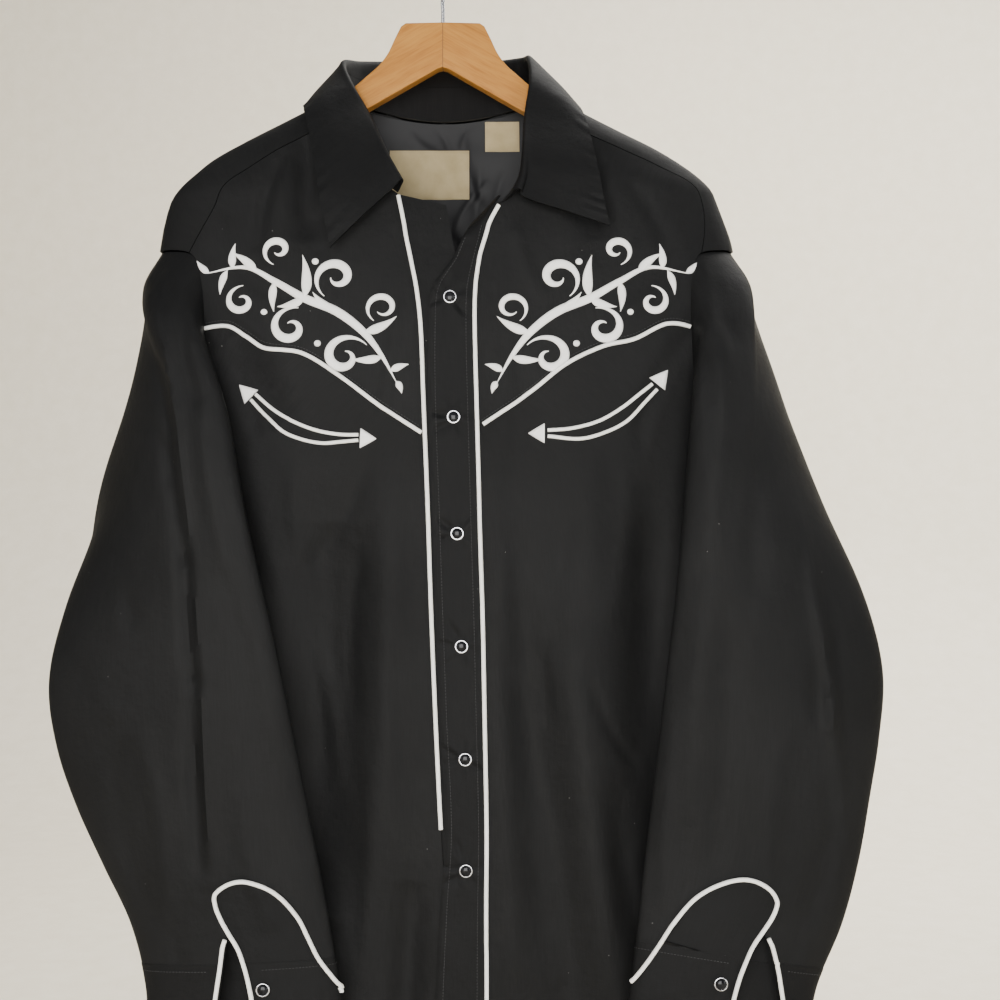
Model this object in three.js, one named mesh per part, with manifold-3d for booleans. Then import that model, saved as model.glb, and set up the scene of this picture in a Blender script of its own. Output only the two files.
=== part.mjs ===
// Western snap shirt hanging on a wooden hanger.
// Millimetres, +Z up, +X to the viewer's right, the shirt's front faces -Y.
// The origin is the inside top of the wire hook, where a rail or a peg holds it.
// "right" and "left" in names are the wearer's, so "right" is on the viewer's left (side -1).
import * as THREE from 'three';
import { mergeVertices } from 'three/addons/utils/BufferGeometryUtils.js';
import Module from 'manifold-3d';

const wasm = await Module();
wasm.setup();

// Driving dimensions
const CLOTH = 1.3;            // shirting, one layer with its seam turnings
const STAND_CLOTH = 1.7;      // collar, stand and placket are two layers with a stiffener
const CUFF_CLOTH = 2.0;
const LINING = 1.0;
const GAP = 0.3;              // between neighbouring pieces
const SEAM = GAP / 2;         // each piece's share of that gap
const BEAD = 1.75;            // radius of the piping
const PLACKET_WIDTH = 37;
const SNAP_RADIUS = 5.65;
const HANGER_DEPTH = 14;
const WIRE = 1.7;             // radius of the hook's wire
const HOOK_INSIDE = 15;       // inside radius of the hook
const UNDERARM = -500;        // height of the underarm points
const HEM_SIDE = -905;        // shirt-tail hem at the side seams
const HEM_CENTRE = -938;      // and at the middle of front and back

const COLUMNS = 12;           // across a front panel or front yoke, half of them on the forward seam
const YOKE_ROWS = 6;
const ARM_ROWS = 5;           // rows of a body panel beside the armhole
const SIDE_ROWS = 10;         // and below the underarm
const RINGS = 14;             // rings down a sleeve
const AROUND = 28;            // points round a sleeve

const SIDES = [{ name: 'right', sign: -1 }, { name: 'left', sign: 1 }];

// Tables: a smooth curve through each named column
function hermite(keys, values, at) {
  const last = keys.length - 1;
  const slope = (i) => {
    const lo = Math.max(i - 1, 0);
    const hi = Math.min(i + 1, last);
    return (values[hi] - values[lo]) / (keys[hi] - keys[lo]);
  };
  if (at <= keys[0]) return values[0] + slope(0) * (at - keys[0]);
  if (at >= keys[last]) return values[last] + slope(last) * (at - keys[last]);
  let i = 0;
  while (at > keys[i + 1]) i += 1;
  const span = keys[i + 1] - keys[i];
  const t = (at - keys[i]) / span;
  const t2 = t * t;
  const t3 = t2 * t;
  return (2 * t3 - 3 * t2 + 1) * values[i] + (t3 - 2 * t2 + t) * span * slope(i)
    + (3 * t2 - 2 * t3) * values[i + 1] + (t3 - t2) * span * slope(i + 1);
}

function table(names, rows) {
  const sorted = [...rows].sort((a, b) => a[0] - b[0]);
  const keys = sorted.map((row) => row[0]);
  const columns = {};
  names.slice(1).forEach((name, j) => {
    const values = sorted.map((row) => row[j + 1]);
    columns[name] = (at) => hermite(keys, values, at);
  });
  return columns;
}

// The body's level sections: half width at each height (the shoulder line above the armholes),
// depth in front of and behind the hanger, and how square the section is
const BODY = table(['z', 'centre', 'half', 'front', 'back', 'power'], [
  [-104, 0, 55, 15, 26, 2.1],
  [-118, 0, 84, 19, 28, 2.1],
  [-134, 0, 113, 24, 31, 2.15],
  [-151, 0, 146, 29, 33, 2.2],
  [-168, 0, 180, 33, 34, 2.25],
  [-185, 0, 207, 36, 36, 2.3],
  [-200, 0, 224, 39, 37, 2.4],
  [-212, 0, 230, 41, 37, 2.4],
  [-254, 3, 241, 46, 37, 2.5],
  [-320, 5, 243, 51, 38, 2.6],
  [-500, 9, 246, 54, 38, 2.7],
  [-700, 15, 252, 53, 37, 2.7],
  [-940, 21, 262, 48, 36, 2.7],
]);

// Soft folds of the fronts and the back: a ridge (height over 0) or trough along a line
const FOLD_COLUMNS = ['side', 'x0', 'z0', 'x1', 'z1', 'width', 'height'];
const FOLDS = [
  [-1, -78, -480, -92, -800, 26, -11],
  [-1, -40, -440, -42, -760, 18, 5],
  [-1, -22, -770, -30, -935, 13, -7],
  [-1, 60, -560, 118, -930, 20, -6],
  [-1, 92, -540, 160, -900, 18, 5],
  [-1, 118, -430, 128, -720, 20, 4],
  [-1, -112, -160, -104, -240, 14, -4],
  [-1, 120, -165, 128, -250, 14, -4],
  [1, -90, -400, -110, -900, 28, 7],
  [1, 10, -380, 0, -900, 26, -7],
  [1, 95, -420, 120, -880, 24, 6],
].map((row) => Object.fromEntries(row.map((value, i) => [FOLD_COLUMNS[i], value])));

function foldHeight(x, z, side) {
  let sum = 0;
  for (const fold of FOLDS) {
    if (fold.side !== side) continue;
    const dx = fold.x1 - fold.x0;
    const dz = fold.z1 - fold.z0;
    const along = ((x - fold.x0) * dx + (z - fold.z0) * dz) / (dx * dx + dz * dz);
    const t = Math.min(1, Math.max(0, along));
    const off = Math.hypot(x - fold.x0 - t * dx, z - fold.z0 - t * dz) / fold.width;
    sum += fold.height * Math.exp(-off * off);
  }
  return sum;
}

// A point of the body's surface: front is side -1 (towards -Y), back is side 1
function bodyAt(x, z, side) {
  const half = BODY.half(z);
  const power = BODY.power(z);
  const u = Math.min(1, Math.abs(x - BODY.centre(z)) / half);
  const depth = side < 0 ? BODY.front(z) : BODY.back(z);
  const round = Math.pow(1 - Math.pow(u, power), 1 / power);
  const fade = 1 - Math.pow(u, 6);
  return new THREE.Vector3(x, side * (depth * round + fade * foldHeight(x, z, side)), z);
}

// The same surface by its angle round the body: 0 front centre, 90 degrees the viewer's right side
function bodyAngle(angle, z) {
  const power = BODY.power(z);
  const s = Math.sin(angle);
  const x = BODY.centre(z) + BODY.half(z) * Math.sign(s) * Math.pow(Math.abs(s), 2 / power);
  return bodyAt(x, z, Math.cos(angle) >= 0 ? -1 : 1);
}

function angleOf(x, z, side) {
  const u = Math.max(-1, Math.min(1, (x - BODY.centre(z)) / BODY.half(z)));
  const angle = Math.asin(Math.sign(u) * Math.pow(Math.abs(u), BODY.power(z) / 2));
  return side < 0 ? angle : Math.PI - angle;
}

// Height of the shoulder ridge over x
function ridgeAt(x) {
  let low = -262;
  let high = -60;
  for (let i = 0; i < 40; i += 1) {
    const z = (low + high) / 2;
    if (Math.abs(x - BODY.centre(z)) > BODY.half(z)) high = z;
    else low = z;
  }
  return (low + high) / 2;
}

// The shoulder's surface by x and a signed depth below the ridge (before it under 0, behind it over 0)
function shoulderAt(x, tau) {
  return bodyAt(x, ridgeAt(x) - tau * tau, tau < 0 ? -1 : 1);
}

// Armhole seam: its inset from the body's side, over the share of the way from the top to the underarm
const ARMHOLE = table(['share', 'front', 'back'], [
  [0, 0, 0],
  [0.08, 30, 12],
  [0.2, 40, 21],
  [0.35, 42, 27],
  [0.5, 39, 28],
  [0.65, 30, 23],
  [0.8, 16, 13],
  [0.92, 5, 4],
  [1, 0, 0],
]);
const ARM_TOP = -254;

function armholeShare(z) {
  const drop = Math.min(1, Math.max(0, (ARM_TOP - z) / (ARM_TOP - UNDERARM)));
  return Math.acos(1 - 2 * drop) / Math.PI;
}

function armholeX(sign, z, side) {
  const inset = side < 0 ? ARMHOLE.front(armholeShare(z)) : ARMHOLE.back(armholeShare(z));
  return BODY.centre(z) + sign * (BODY.half(z) - inset);
}

// Round the armhole: turn 0 at the top, 0.25 at the front, 0.5 at the underarm, 0.75 at the back
function armholeAt(sign, turn) {
  const side = turn <= 0.5 ? -1 : 1;
  const share = turn <= 0.5 ? turn * 2 : (1 - turn) * 2;
  const z = ARM_TOP + (UNDERARM - ARM_TOP) * (1 - Math.cos(Math.PI * share)) / 2;
  return bodyAt(armholeX(sign, z, side), z, side);
}

// Seam lines as seen from the front, x and z
const FORWARD_SEAM = {
  right: [[-208, -258], [-197, -238], [-187, -220], [-180, -203], [-158, -187], [-135, -172], [-111, -159], [-88, -146]],
  left: [[214, -258], [217, -238], [216, -218], [210, -202], [181, -186], [150, -172], [119, -158], [90, -145]],
};
const FRONT_NECK = {
  right: [[-88, -146], [-78, -163], [-62, -186], [-47, -203], [-35, -212]],
  left: [[90, -145], [84, -165], [76, -190], [64, -208], [49, -220]],
};
const BACK_NECK = [[-88, -146, -1], [-84, -118, 1], [-70, -124, 1], [-45, -132, 1], [0, -137, 1],
  [45, -132, 1], [70, -124, 1], [84, -118, 1], [90, -145, -1]];
const YOKE_SEAM = {
  right: table(['x', 'z'], [[-198, -322], [-174, -320], [-159, -328], [-143, -338], [-112, -343], [-81, -362],
    [-50, -385], [-13, -409]]),
  left: table(['x', 'z'], [[28, -405], [72, -375], [101, -352], [132, -337], [157, -331], [181, -319],
    [194, -318], [214, -323]]),
};

// The front opening: piping beside the under placket, the lap's free edge, piping beside the lap,
// and how far the lap's free edge turns back where the neck stands open
const OPENING = table(['z', 'under', 'free', 'lap', 'turn'], [
  [-212, -35, 46, 51, 14],
  [-236, -30, 25, 38, 7],
  [-248, -28, 18, 35, 0],
  [-267, -24, 9, 31, 0],
  [-290, -19.5, -7, 28, 0],
  [-320, -16, -10, 27.5, 0],
  [-381, -13.5, -10, 29, 0],
  [-470, -10, -6.8, 31.5, 0],
  [-546, -7.5, -4.2, 34, 0],
  [-640, -3.7, -0.5, 36, 0],
  [-729, 0.6, 3.8, 37.5, 0],
  [-793, 4.5, -0.5, 37, 0],
  [-866, 8, -4.5, 37, 0],
  [-940, 10, -7, 37, 0],
]);

function hemAt(x) {
  const u = Math.min(1, Math.abs(x - 20) / 262);
  return HEM_CENTRE + (HEM_SIDE - HEM_CENTRE) * (1 - Math.cos(Math.PI * u)) / 2;
}

// Closed meshes
function solid(vertices, faces) {
  const geometry = new THREE.BufferGeometry();
  geometry.setAttribute('position', new THREE.Float32BufferAttribute(vertices.flatMap((v) => [v.x, v.y, v.z]), 3));
  let volume = 0;
  for (const [a, b, c] of faces) volume += vertices[a].dot(vertices[b].clone().cross(vertices[c]));
  geometry.setIndex(faces.flatMap(([a, b, c]) => (volume > 0 ? [a, b, c] : [a, c, b])));
  return geometry;
}

// A wall of cloth: rows of {point, normal} on its outer face, thickened inwards.
// A closed wall joins its last column to its first.
function wall(rows, thickness, closed = false) {
  const across = rows[0].length;
  const down = rows.length;
  const outer = rows.flat().map((node) => node.point);
  const inner = rows.flat().map((node) => node.point.clone().addScaledVector(node.normal, -thickness));
  const vertices = [...outer, ...inner];
  const shift = outer.length;
  const at = (r, c) => r * across + (c % across);
  const faces = [];
  const quad = (a, b, c, d) => faces.push([a, b, c], [a, c, d]);
  const wide = closed ? across : across - 1;
  for (let r = 0; r < down - 1; r += 1) {
    for (let c = 0; c < wide; c += 1) {
      quad(at(r, c), at(r, c + 1), at(r + 1, c + 1), at(r + 1, c));
      quad(shift + at(r, c), shift + at(r + 1, c), shift + at(r + 1, c + 1), shift + at(r, c + 1));
    }
  }
  for (let c = 0; c < wide; c += 1) {
    quad(at(0, c + 1), at(0, c), shift + at(0, c), shift + at(0, c + 1));
    quad(at(down - 1, c), at(down - 1, c + 1), shift + at(down - 1, c + 1), shift + at(down - 1, c));
  }
  if (!closed) {
    for (let r = 0; r < down - 1; r += 1) {
      quad(at(r, 0), at(r + 1, 0), shift + at(r + 1, 0), shift + at(r, 0));
      quad(at(r + 1, across - 1), at(r, across - 1), shift + at(r, across - 1), shift + at(r + 1, across - 1));
    }
  }
  return solid(vertices, faces);
}

// A point and its outward normal on any surface of two numbers, moved out by lift.
// out points away from the cloth's inside.
function onSurface(surface, a, b, stepA, stepB, out, lift = 0) {
  const point = surface(a, b);
  const alongA = surface(a + stepA, b).sub(surface(a - stepA, b));
  const alongB = surface(a, b + stepB).sub(surface(a, b - stepB));
  const normal = alongA.cross(alongB).normalize();
  if (normal.dot(out) < 0) normal.negate();
  point.addScaledVector(normal, lift);
  return { point, normal };
}

function onFront(x, z, lift = 0) {
  const surface = (a, b) => bodyAt(a, b, -1);
  return onSurface(surface, x, z, 0.5, 0.5, new THREE.Vector3(0, -1, 0), lift);
}

function onBack(x, z, lift = 0) {
  const surface = (a, b) => bodyAt(a, b, 1);
  return onSurface(surface, x, z, 0.5, 0.5, new THREE.Vector3(0, 1, 0), lift);
}

function onBodyAngle(angle, z) {
  const out = new THREE.Vector3(Math.sin(angle), -Math.cos(angle), 0);
  return onSurface(bodyAngle, angle, z, 0.01, 0.5, out);
}

function onShoulder(x, tau) {
  const out = new THREE.Vector3(Math.sign(x) * 0.5, tau / 10, 1);
  return onSurface(shoulderAt, x, tau, 0.4, 0.15, out);
}

// A patch stretched between four edges, each a function of 0 to 1 that gives a pair of numbers
function patch(edges, across, down, place) {
  const { top, bottom, start, end } = edges;
  const mix = (a, b, t) => a + (b - a) * t;
  const rows = [];
  for (let r = 0; r <= down; r += 1) {
    const v = r / down;
    const row = [];
    for (let c = 0; c <= across; c += 1) {
      const u = c / across;
      const pair = [0, 1].map((k) => mix(top(u)[k], bottom(u)[k], v) + mix(start(v)[k], end(v)[k], u)
        - mix(mix(top(0)[k], top(1)[k], u), mix(bottom(0)[k], bottom(1)[k], u), v));
      row.push(place(pair[0], pair[1], u, v));
    }
    rows.push(row);
  }
  return rows;
}

// A smooth path through pairs, as a function of 0 to 1 by its length
function path(pairs) {
  const curve = new THREE.CatmullRomCurve3(pairs.map(([a, b]) => new THREE.Vector3(a, b, 0)), false, 'centripetal');
  curve.arcLengthDivisions = 120;
  return (t) => {
    const point = curve.getPointAt(Math.min(1, Math.max(0, t)));
    return [point.x, point.y];
  };
}

// A path moved sideways by offset: over 0 is to its left as it runs
function moved(route, offset) {
  return (t) => {
    const [ax, az] = route(Math.max(0, t - 0.01));
    const [bx, bz] = route(Math.min(1, t + 0.01));
    const length = Math.hypot(bx - ax, bz - az);
    const [x, z] = route(t);
    return [x - offset * (bz - az) / length, z + offset * (bx - ax) / length];
  };
}

const materials = {
  cloth: new THREE.MeshStandardMaterial({ color: 0x232324, roughness: 0.85 }),
  piping: new THREE.MeshStandardMaterial({ color: 0xe9e5da, roughness: 0.7 }),
  satin: new THREE.MeshStandardMaterial({ color: 0x1b1b1c, roughness: 0.4 }),
  label: new THREE.MeshStandardMaterial({ color: 0xd8c7a2, roughness: 0.8 }),
  wood: new THREE.MeshStandardMaterial({ color: 0xc98d4f, roughness: 0.5 }),
  wire: new THREE.MeshStandardMaterial({ color: 0xb9babc, roughness: 0.3, metalness: 1 }),
  pearl: new THREE.MeshStandardMaterial({ color: 0x0e0e10, roughness: 0.2 }),
};

const shirt = new THREE.Group();
shirt.name = 'western_snap_shirt';

function add(name, geometry, material) {
  const mesh = new THREE.Mesh(geometry, materials[material]);
  mesh.name = name;
  shirt.add(mesh);
  return mesh;
}

// Hanger: one outline, upper edge as a table, lower edge straight to the tips
const HANGER_TOP = [[0, -61.5], [31, -62.2], [35, -65], [40, -75], [46, -87.5], [53, -97], [63, -106], [75, -116.4],
  [88, -127.8], [113, -141.6], [150, -159.6], [182, -177.2]];
const HANGER_TIP = [[190, -184.8], [196, -192.5], [197, -200.5], [193, -206.5]];
const HANGER_APEX = -99.2;
const HANGER_SLOPE = 0.553;

function makeHanger() {
  const rightHalf = [...HANGER_TOP, ...HANGER_TIP];
  const outline = new THREE.Shape();
  outline.moveTo(0, HANGER_APEX);
  outline.lineTo(6, HANGER_APEX - 1.5);
  outline.lineTo(187, HANGER_APEX - 187 * HANGER_SLOPE);
  for (const [x, z] of [...rightHalf].reverse()) outline.lineTo(x, z);
  for (const [x, z] of rightHalf.slice(1)) outline.lineTo(-x, z);
  outline.lineTo(-187, HANGER_APEX - 187 * HANGER_SLOPE);
  outline.lineTo(-6, HANGER_APEX - 1.5);
  outline.closePath();
  const bevel = 2;
  const geometry = new THREE.ExtrudeGeometry(outline, {
    depth: HANGER_DEPTH - 2 * bevel,
    bevelEnabled: true,
    bevelSize: bevel,
    bevelOffset: -bevel,
    bevelThickness: bevel,
    bevelSegments: 1,
  });
  geometry.rotateX(Math.PI / 2);
  geometry.translate(0, HANGER_DEPTH / 2 - bevel, 0);
  return geometry;
}

function makeHook() {
  const ring = HOOK_INSIDE + WIRE;
  const points = [new THREE.Vector3(0, 0, HANGER_TOP[0][1] + GAP), new THREE.Vector3(0, 0, -50),
    new THREE.Vector3(0, 0, -41), new THREE.Vector3(5, 0, -33.5)];
  for (let degrees = -40; degrees <= 205; degrees += 24.5) {
    const angle = THREE.MathUtils.degToRad(degrees);
    points.push(new THREE.Vector3(ring * Math.cos(angle), 0, -HOOK_INSIDE + ring * Math.sin(angle)));
  }
  const section = new THREE.Shape();
  section.absarc(0, 0, WIRE, 0, Math.PI * 2, false);
  const route = new THREE.CatmullRomCurve3(points, false, 'centripetal');
  return new THREE.ExtrudeGeometry(section, { steps: 28, curveSegments: 3, bevelEnabled: false, extrudePath: route });
}

add('hanger', makeHanger(), 'wood');
add('hook', makeHook(), 'wire');

// Front yokes and front panels share the points of the curved yoke seam
function innerEdge(sign, z) {
  return sign < 0 ? OPENING.under(z) - GAP : OPENING.lap(z) - BEAD + SEAM;
}

function yokeSeamPoint(side, u) {
  const seam = YOKE_SEAM[side.name];
  let z = -322;
  for (let i = 0; i < 8; i += 1) z = seam.z(armholeX(side.sign, z, -1));
  const outerX = armholeX(side.sign, z, -1);
  let innerZ = -405;
  for (let i = 0; i < 8; i += 1) innerZ = seam.z(innerEdge(side.sign, innerZ));
  const x = outerX + (innerEdge(side.sign, innerZ) - outerX) * u;
  return [x, seam.z(x)];
}

// Facets of the fronts, so that what lies on them follows the same points
const frontGrids = [];

function onFacets(x, z, lift) {
  for (const rows of frontGrids) {
    for (let r = 0; r < rows.length - 1; r += 1) {
      for (let c = 0; c < rows[r].length - 1; c += 1) {
        const [a, b, d, e] = [rows[r][c], rows[r][c + 1], rows[r + 1][c + 1], rows[r + 1][c]].map((n) => n.point);
        for (const corners of [[a, b, d], [a, d, e]]) {
          const [p, q, s] = corners;
          const det = (q.x - p.x) * (s.z - p.z) - (s.x - p.x) * (q.z - p.z);
          const u = ((x - p.x) * (s.z - p.z) - (s.x - p.x) * (z - p.z)) / det;
          const v = ((q.x - p.x) * (z - p.z) - (x - p.x) * (q.z - p.z)) / det;
          if (u < -0.001 || v < -0.001 || u + v > 1.001) continue;
          const normal = onFront(x, z).normal;
          const point = new THREE.Vector3(x, p.y + u * (q.y - p.y) + v * (s.y - p.y), z);
          return { point: point.addScaledVector(normal, lift), normal };
        }
      }
    }
  }
  return onFront(x, z, lift);
}

function makeFrontYoke(side) {
  const seam = path(FORWARD_SEAM[side.name]);
  const neck = path(FRONT_NECK[side.name]);
  const top = (u) => (u <= 0.5 ? seam(u * 2) : neck(u * 2 - 1));
  const bottom = (u) => yokeSeamPoint(side, u);
  const heights = (u, v) => top(u)[1] + (bottom(u)[1] - top(u)[1]) * v;
  const start = (v) => [v === 0 ? top(0)[0] : armholeX(side.sign, heights(0, v), -1), heights(0, v)];
  const end = (v) => [v === 0 ? top(1)[0] : innerEdge(side.sign, heights(1, v)), heights(1, v)];
  const place = (x, z, u, v) => onFront(x, z - SEAM + (v === 1 ? 2 * SEAM : 0));
  const rows = patch({ top, bottom, start, end }, COLUMNS, YOKE_ROWS, place);
  frontGrids.push(rows);
  return wall(rows, CLOTH);
}

// Rows of a body panel, so that one falls on the underarm at the side
function panelHeight(topZ, bottomZ, row) {
  if (row <= ARM_ROWS) return topZ + (UNDERARM - topZ) * row / ARM_ROWS;
  return UNDERARM + (bottomZ - UNDERARM) * (row - ARM_ROWS) / SIDE_ROWS;
}

function makeFrontPanel(side) {
  const rows = [];
  const down = ARM_ROWS + SIDE_ROWS;
  for (let r = 0; r <= down; r += 1) {
    const row = [];
    for (let c = 0; c <= COLUMNS; c += 1) {
      const u = c / COLUMNS;
      const [seamX, seamZ] = yokeSeamPoint(side, u);
      let x = seamX;
      let z = seamZ - SEAM;
      let angle = angleOf(x, z, -1);
      for (let i = 0; i < 4 && r > 0; i += 1) {
        z = panelHeight(seamZ, hemAt(x), r);
        const outer = z > UNDERARM + 0.01 ? angleOf(armholeX(side.sign, z, -1), z, -1) : side.sign * Math.PI / 2;
        const inner = angleOf(innerEdge(side.sign, z), z, -1);
        angle = outer + (inner - outer) * u;
        x = bodyAngle(angle, z).x;
      }
      const node = onBodyAngle(angle, z);
      node.point.y -= SEAM;
      row.push(node);
    }
    rows.push(row);
  }
  frontGrids.push(rows);
  return wall(rows, CLOTH);
}

for (const side of SIDES) {
  add(`front_yoke_${side.name}`, makeFrontYoke(side), 'cloth');
  add(`front_panel_${side.name}`, makeFrontPanel(side), 'cloth');
}

// Placket strips: the under one on the wearer's right front, the lap on the left front over it
const LAP_LIFT = GAP + STAND_CLOTH + 0.8;
const LAP_TOP = -214;

function makeUnderPlacket() {
  const rows = [];
  const down = 22;
  for (let r = 0; r <= down; r += 1) {
    const row = [];
    for (let c = 0; c <= 3; c += 1) {
      const u = c / 3;
      const topZ = -212.5 - 9 * u;
      const z = topZ + (HEM_CENTRE - topZ) * r / down;
      const left = OPENING.under(z) + SEAM;
      const right = Math.min(OPENING.under(z) + PLACKET_WIDTH, OPENING.lap(z) - BEAD - GAP);
      row.push(onFront(left + (right - left) * u, z));
    }
    rows.push(row);
  }
  return wall(rows, CLOTH);
}

function makePlacket() {
  const rows = [];
  const down = 26;
  for (let r = 0; r <= down; r += 1) {
    const z = LAP_TOP + (HEM_CENTRE - 2 - LAP_TOP) * r / down;
    const row = [];
    for (let c = 0; c <= 4; c += 1) {
      const u = c / 4;
      const x = OPENING.free(z) + (OPENING.lap(z) - BEAD - GAP - OPENING.free(z)) * u;
      const node = onFront(x, z, LAP_LIFT);
      node.point.y += Math.max(0, OPENING.turn(z)) * (1 - u) * (1 - u);
      row.push(node);
    }
    rows.push(row);
  }
  return wall(rows, STAND_CLOTH);
}

add('under_placket', makeUnderPlacket(), 'cloth');
add('placket', makePlacket(), 'cloth');

// Back yoke: from the forward seams over both shoulders and down to the back yoke seam
const BACK_SEAM_SIDE = -322;
const BACK_SEAM_POINT = -348;

function backSeamAt(x) {
  const u = Math.min(1, Math.abs(x - 5) / 225);
  return BACK_SEAM_POINT + (BACK_SEAM_SIDE - BACK_SEAM_POINT) * u;
}

function tauOf(x, z, side) {
  return side * Math.sqrt(Math.max(0, ridgeAt(x) - z));
}

function makeBackYoke() {
  const rows = [];
  const down = 11;
  const seams = SIDES.map((side) => moved(path(FORWARD_SEAM[side.name]), -side.sign * 2 * GAP));
  const half = COLUMNS / 2;
  const neckCurve = new THREE.CatmullRomCurve3(BACK_NECK.map(([x, z, side]) =>
    new THREE.Vector3(x, Math.abs(z + 118) < 0.5 ? 0 : tauOf(x, z, side), 0)), false, 'centripetal');
  const neckColumns = 16;
  const top = [];
  for (let c = 0; c <= half; c += 1) {
    const [x, z] = seams[0](c / half);
    top.push([x, tauOf(x, z, -1)]);
  }
  for (let c = 1; c < neckColumns; c += 1) {
    const point = neckCurve.getPoint(c / neckColumns);
    top.push([point.x, point.y]);
  }
  for (let c = half; c >= 0; c -= 1) {
    const [x, z] = seams[1](c / half);
    top.push([x, tauOf(x, z, -1)]);
  }
  const last = top.length - 1;
  const seamEnds = SIDES.map((side) => armholeX(side.sign, BACK_SEAM_SIDE, 1));
  const bottom = top.map((pair, c) => {
    const x = seamEnds[0] + (seamEnds[1] - seamEnds[0]) * c / last;
    return [x, tauOf(x, backSeamAt(x) + SEAM, 1)];
  });
  // The outer columns follow the armhole from the forward seam over the top to the back yoke seam
  const armEdge = SIDES.map((side, k) => {
    const startShare = armholeShare(seams[k](0)[1]) / 2;
    const endShare = armholeShare(BACK_SEAM_SIDE) / 2;
    return (v) => {
      const turn = startShare - (startShare + endShare) * v;
      const point = armholeAt(side.sign, turn < 0 ? 1 + turn : turn);
      return [point.x, turn > 0 ? -Math.sqrt(Math.max(0, ridgeAt(point.x) - point.z))
        : Math.sqrt(Math.max(0, ridgeAt(point.x) - point.z))];
    };
  });
  for (let r = 0; r <= down; r += 1) {
    const v = r / down;
    const row = [];
    for (let c = 0; c <= last; c += 1) {
      const u = c / last;
      const pair = [0, 1].map((k) => {
        const straight = top[c][k] + (bottom[c][k] - top[c][k]) * v;
        const startOff = armEdge[0](v)[k] - (top[0][k] + (bottom[0][k] - top[0][k]) * v);
        const endOff = armEdge[1](v)[k] - (top[last][k] + (bottom[last][k] - top[last][k]) * v);
        const nearStart = Math.pow(Math.max(0, 1 - u * 5), 1.5);
        const nearEnd = Math.pow(Math.max(0, 1 - (1 - u) * 5), 1.5);
        return straight + (r > 0 && r < down ? startOff * nearStart + endOff * nearEnd : 0);
      });
      row.push(onShoulder(pair[0], pair[1]));
    }
    rows.push(row);
  }
  return wall(rows, CLOTH);
}

function makeBackBody() {
  const rows = [];
  const down = ARM_ROWS + SIDE_ROWS;
  const across = 16;
  for (let r = 0; r <= down; r += 1) {
    const row = [];
    for (let c = 0; c <= across; c += 1) {
      const u = c / across;
      let x = -220 + 440 * u;
      let z = BACK_SEAM_SIDE;
      let angle = Math.PI;
      for (let i = 0; i < 5; i += 1) {
        z = panelHeight(backSeamAt(x) - SEAM, hemAt(x), r);
        const ends = SIDES.map((side) => {
          const sideAngle = side.sign < 0 ? Math.PI * 1.5 : Math.PI / 2;
          if (z <= UNDERARM + 0.01) return sideAngle;
          return angleOf(armholeX(side.sign, z, 1), z, 1);
        });
        angle = ends[0] + (ends[1] - ends[0]) * u;
        x = bodyAngle(angle, z).x;
      }
      const node = onBodyAngle(angle, z);
      node.point.y += SEAM;
      row.push(node);
    }
    rows.push(row);
  }
  return wall(rows, CLOTH);
}

add('back_yoke', makeBackYoke(), 'cloth');
add('back_body', makeBackBody(), 'cloth');

// Collar: stations from the right front end round the back to the left one.
// N is the neck seam, R the inside of the roll, E the outer edge of the fall.
const COLLAR_COLUMNS = ['nx', 'ny', 'nz', 'rx', 'ry', 'rz', 'ex', 'ey', 'ez'];
const COLLAR = [
  [-36, -44, -212, -31, -54, -204, -88, -64, -260],
  [-47, -41, -202, -42, -47, -184, -95, -60, -228],
  [-62, -35, -185, -52, -35, -163, -101, -52, -198],
  [-77, -28, -163, -63, -22, -141, -107, -39, -167],
  [-87, -20, -145, -75, -13, -117, -114, -20, -139],
  [-84, 0, -117, -84, 12, -91, -114, 8, -131],
  [-70, 24, -123, -71, 33, -85, -93, 44, -136],
  [-45, 28, -131, -43, 42, -83, -52, 55, -139],
  [0, 30, -136, 0, 45, -82, 0, 58, -140],
  [45, 28, -131, 41, 42, -82, 50, 55, -139],
  [70, 24, -123, 65, 33, -82, 90, 44, -136],
  [84, 0, -117, 72, 13, -88, 110, 8, -131],
  [89, -20, -144, 73, -13, -116, 116, -22, -142],
  [83, -28, -165, 69, -24, -146, 123, -42, -170],
  [75, -37, -190, 67, -40, -176, 128, -54, -198],
  [64, -42, -207, 65, -49, -197, 132, -60, -222],
  [51, -45, -219, 61, -55, -211, 136, -64, -242],
];
const STAND_SHARE = 0.58;
const STAND_RISE = 5.8;       // the stand's lower edge over the neck seam's line
const ROLL_WIDTH = 5.6;

function collarStation(t) {
  const keys = COLLAR.map((row, i) => i / (COLLAR.length - 1));
  const value = Object.fromEntries(COLLAR_COLUMNS.map((name, j) => [name, hermite(keys, COLLAR.map((r) => r[j]), t)]));
  const neck = new THREE.Vector3(value.nx, value.ny, value.nz);
  const roll = new THREE.Vector3(value.rx, value.ry, value.rz);
  const edge = new THREE.Vector3(value.ex, value.ey, value.ez);
  return { neck, roll, edge };
}

function addNormals(points, towards) {
  return points.map((row, r) => row.map((point, c) => {
    const across = points[r][Math.min(c + 1, row.length - 1)].clone().sub(points[r][Math.max(c - 1, 0)]);
    const down = points[Math.min(r + 1, points.length - 1)][c].clone().sub(points[Math.max(r - 1, 0)][c]);
    const normal = across.cross(down).normalize().multiplyScalar(towards);
    return { point, normal };
  }));
}

const COLLAR_STATIONS = 28;

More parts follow.
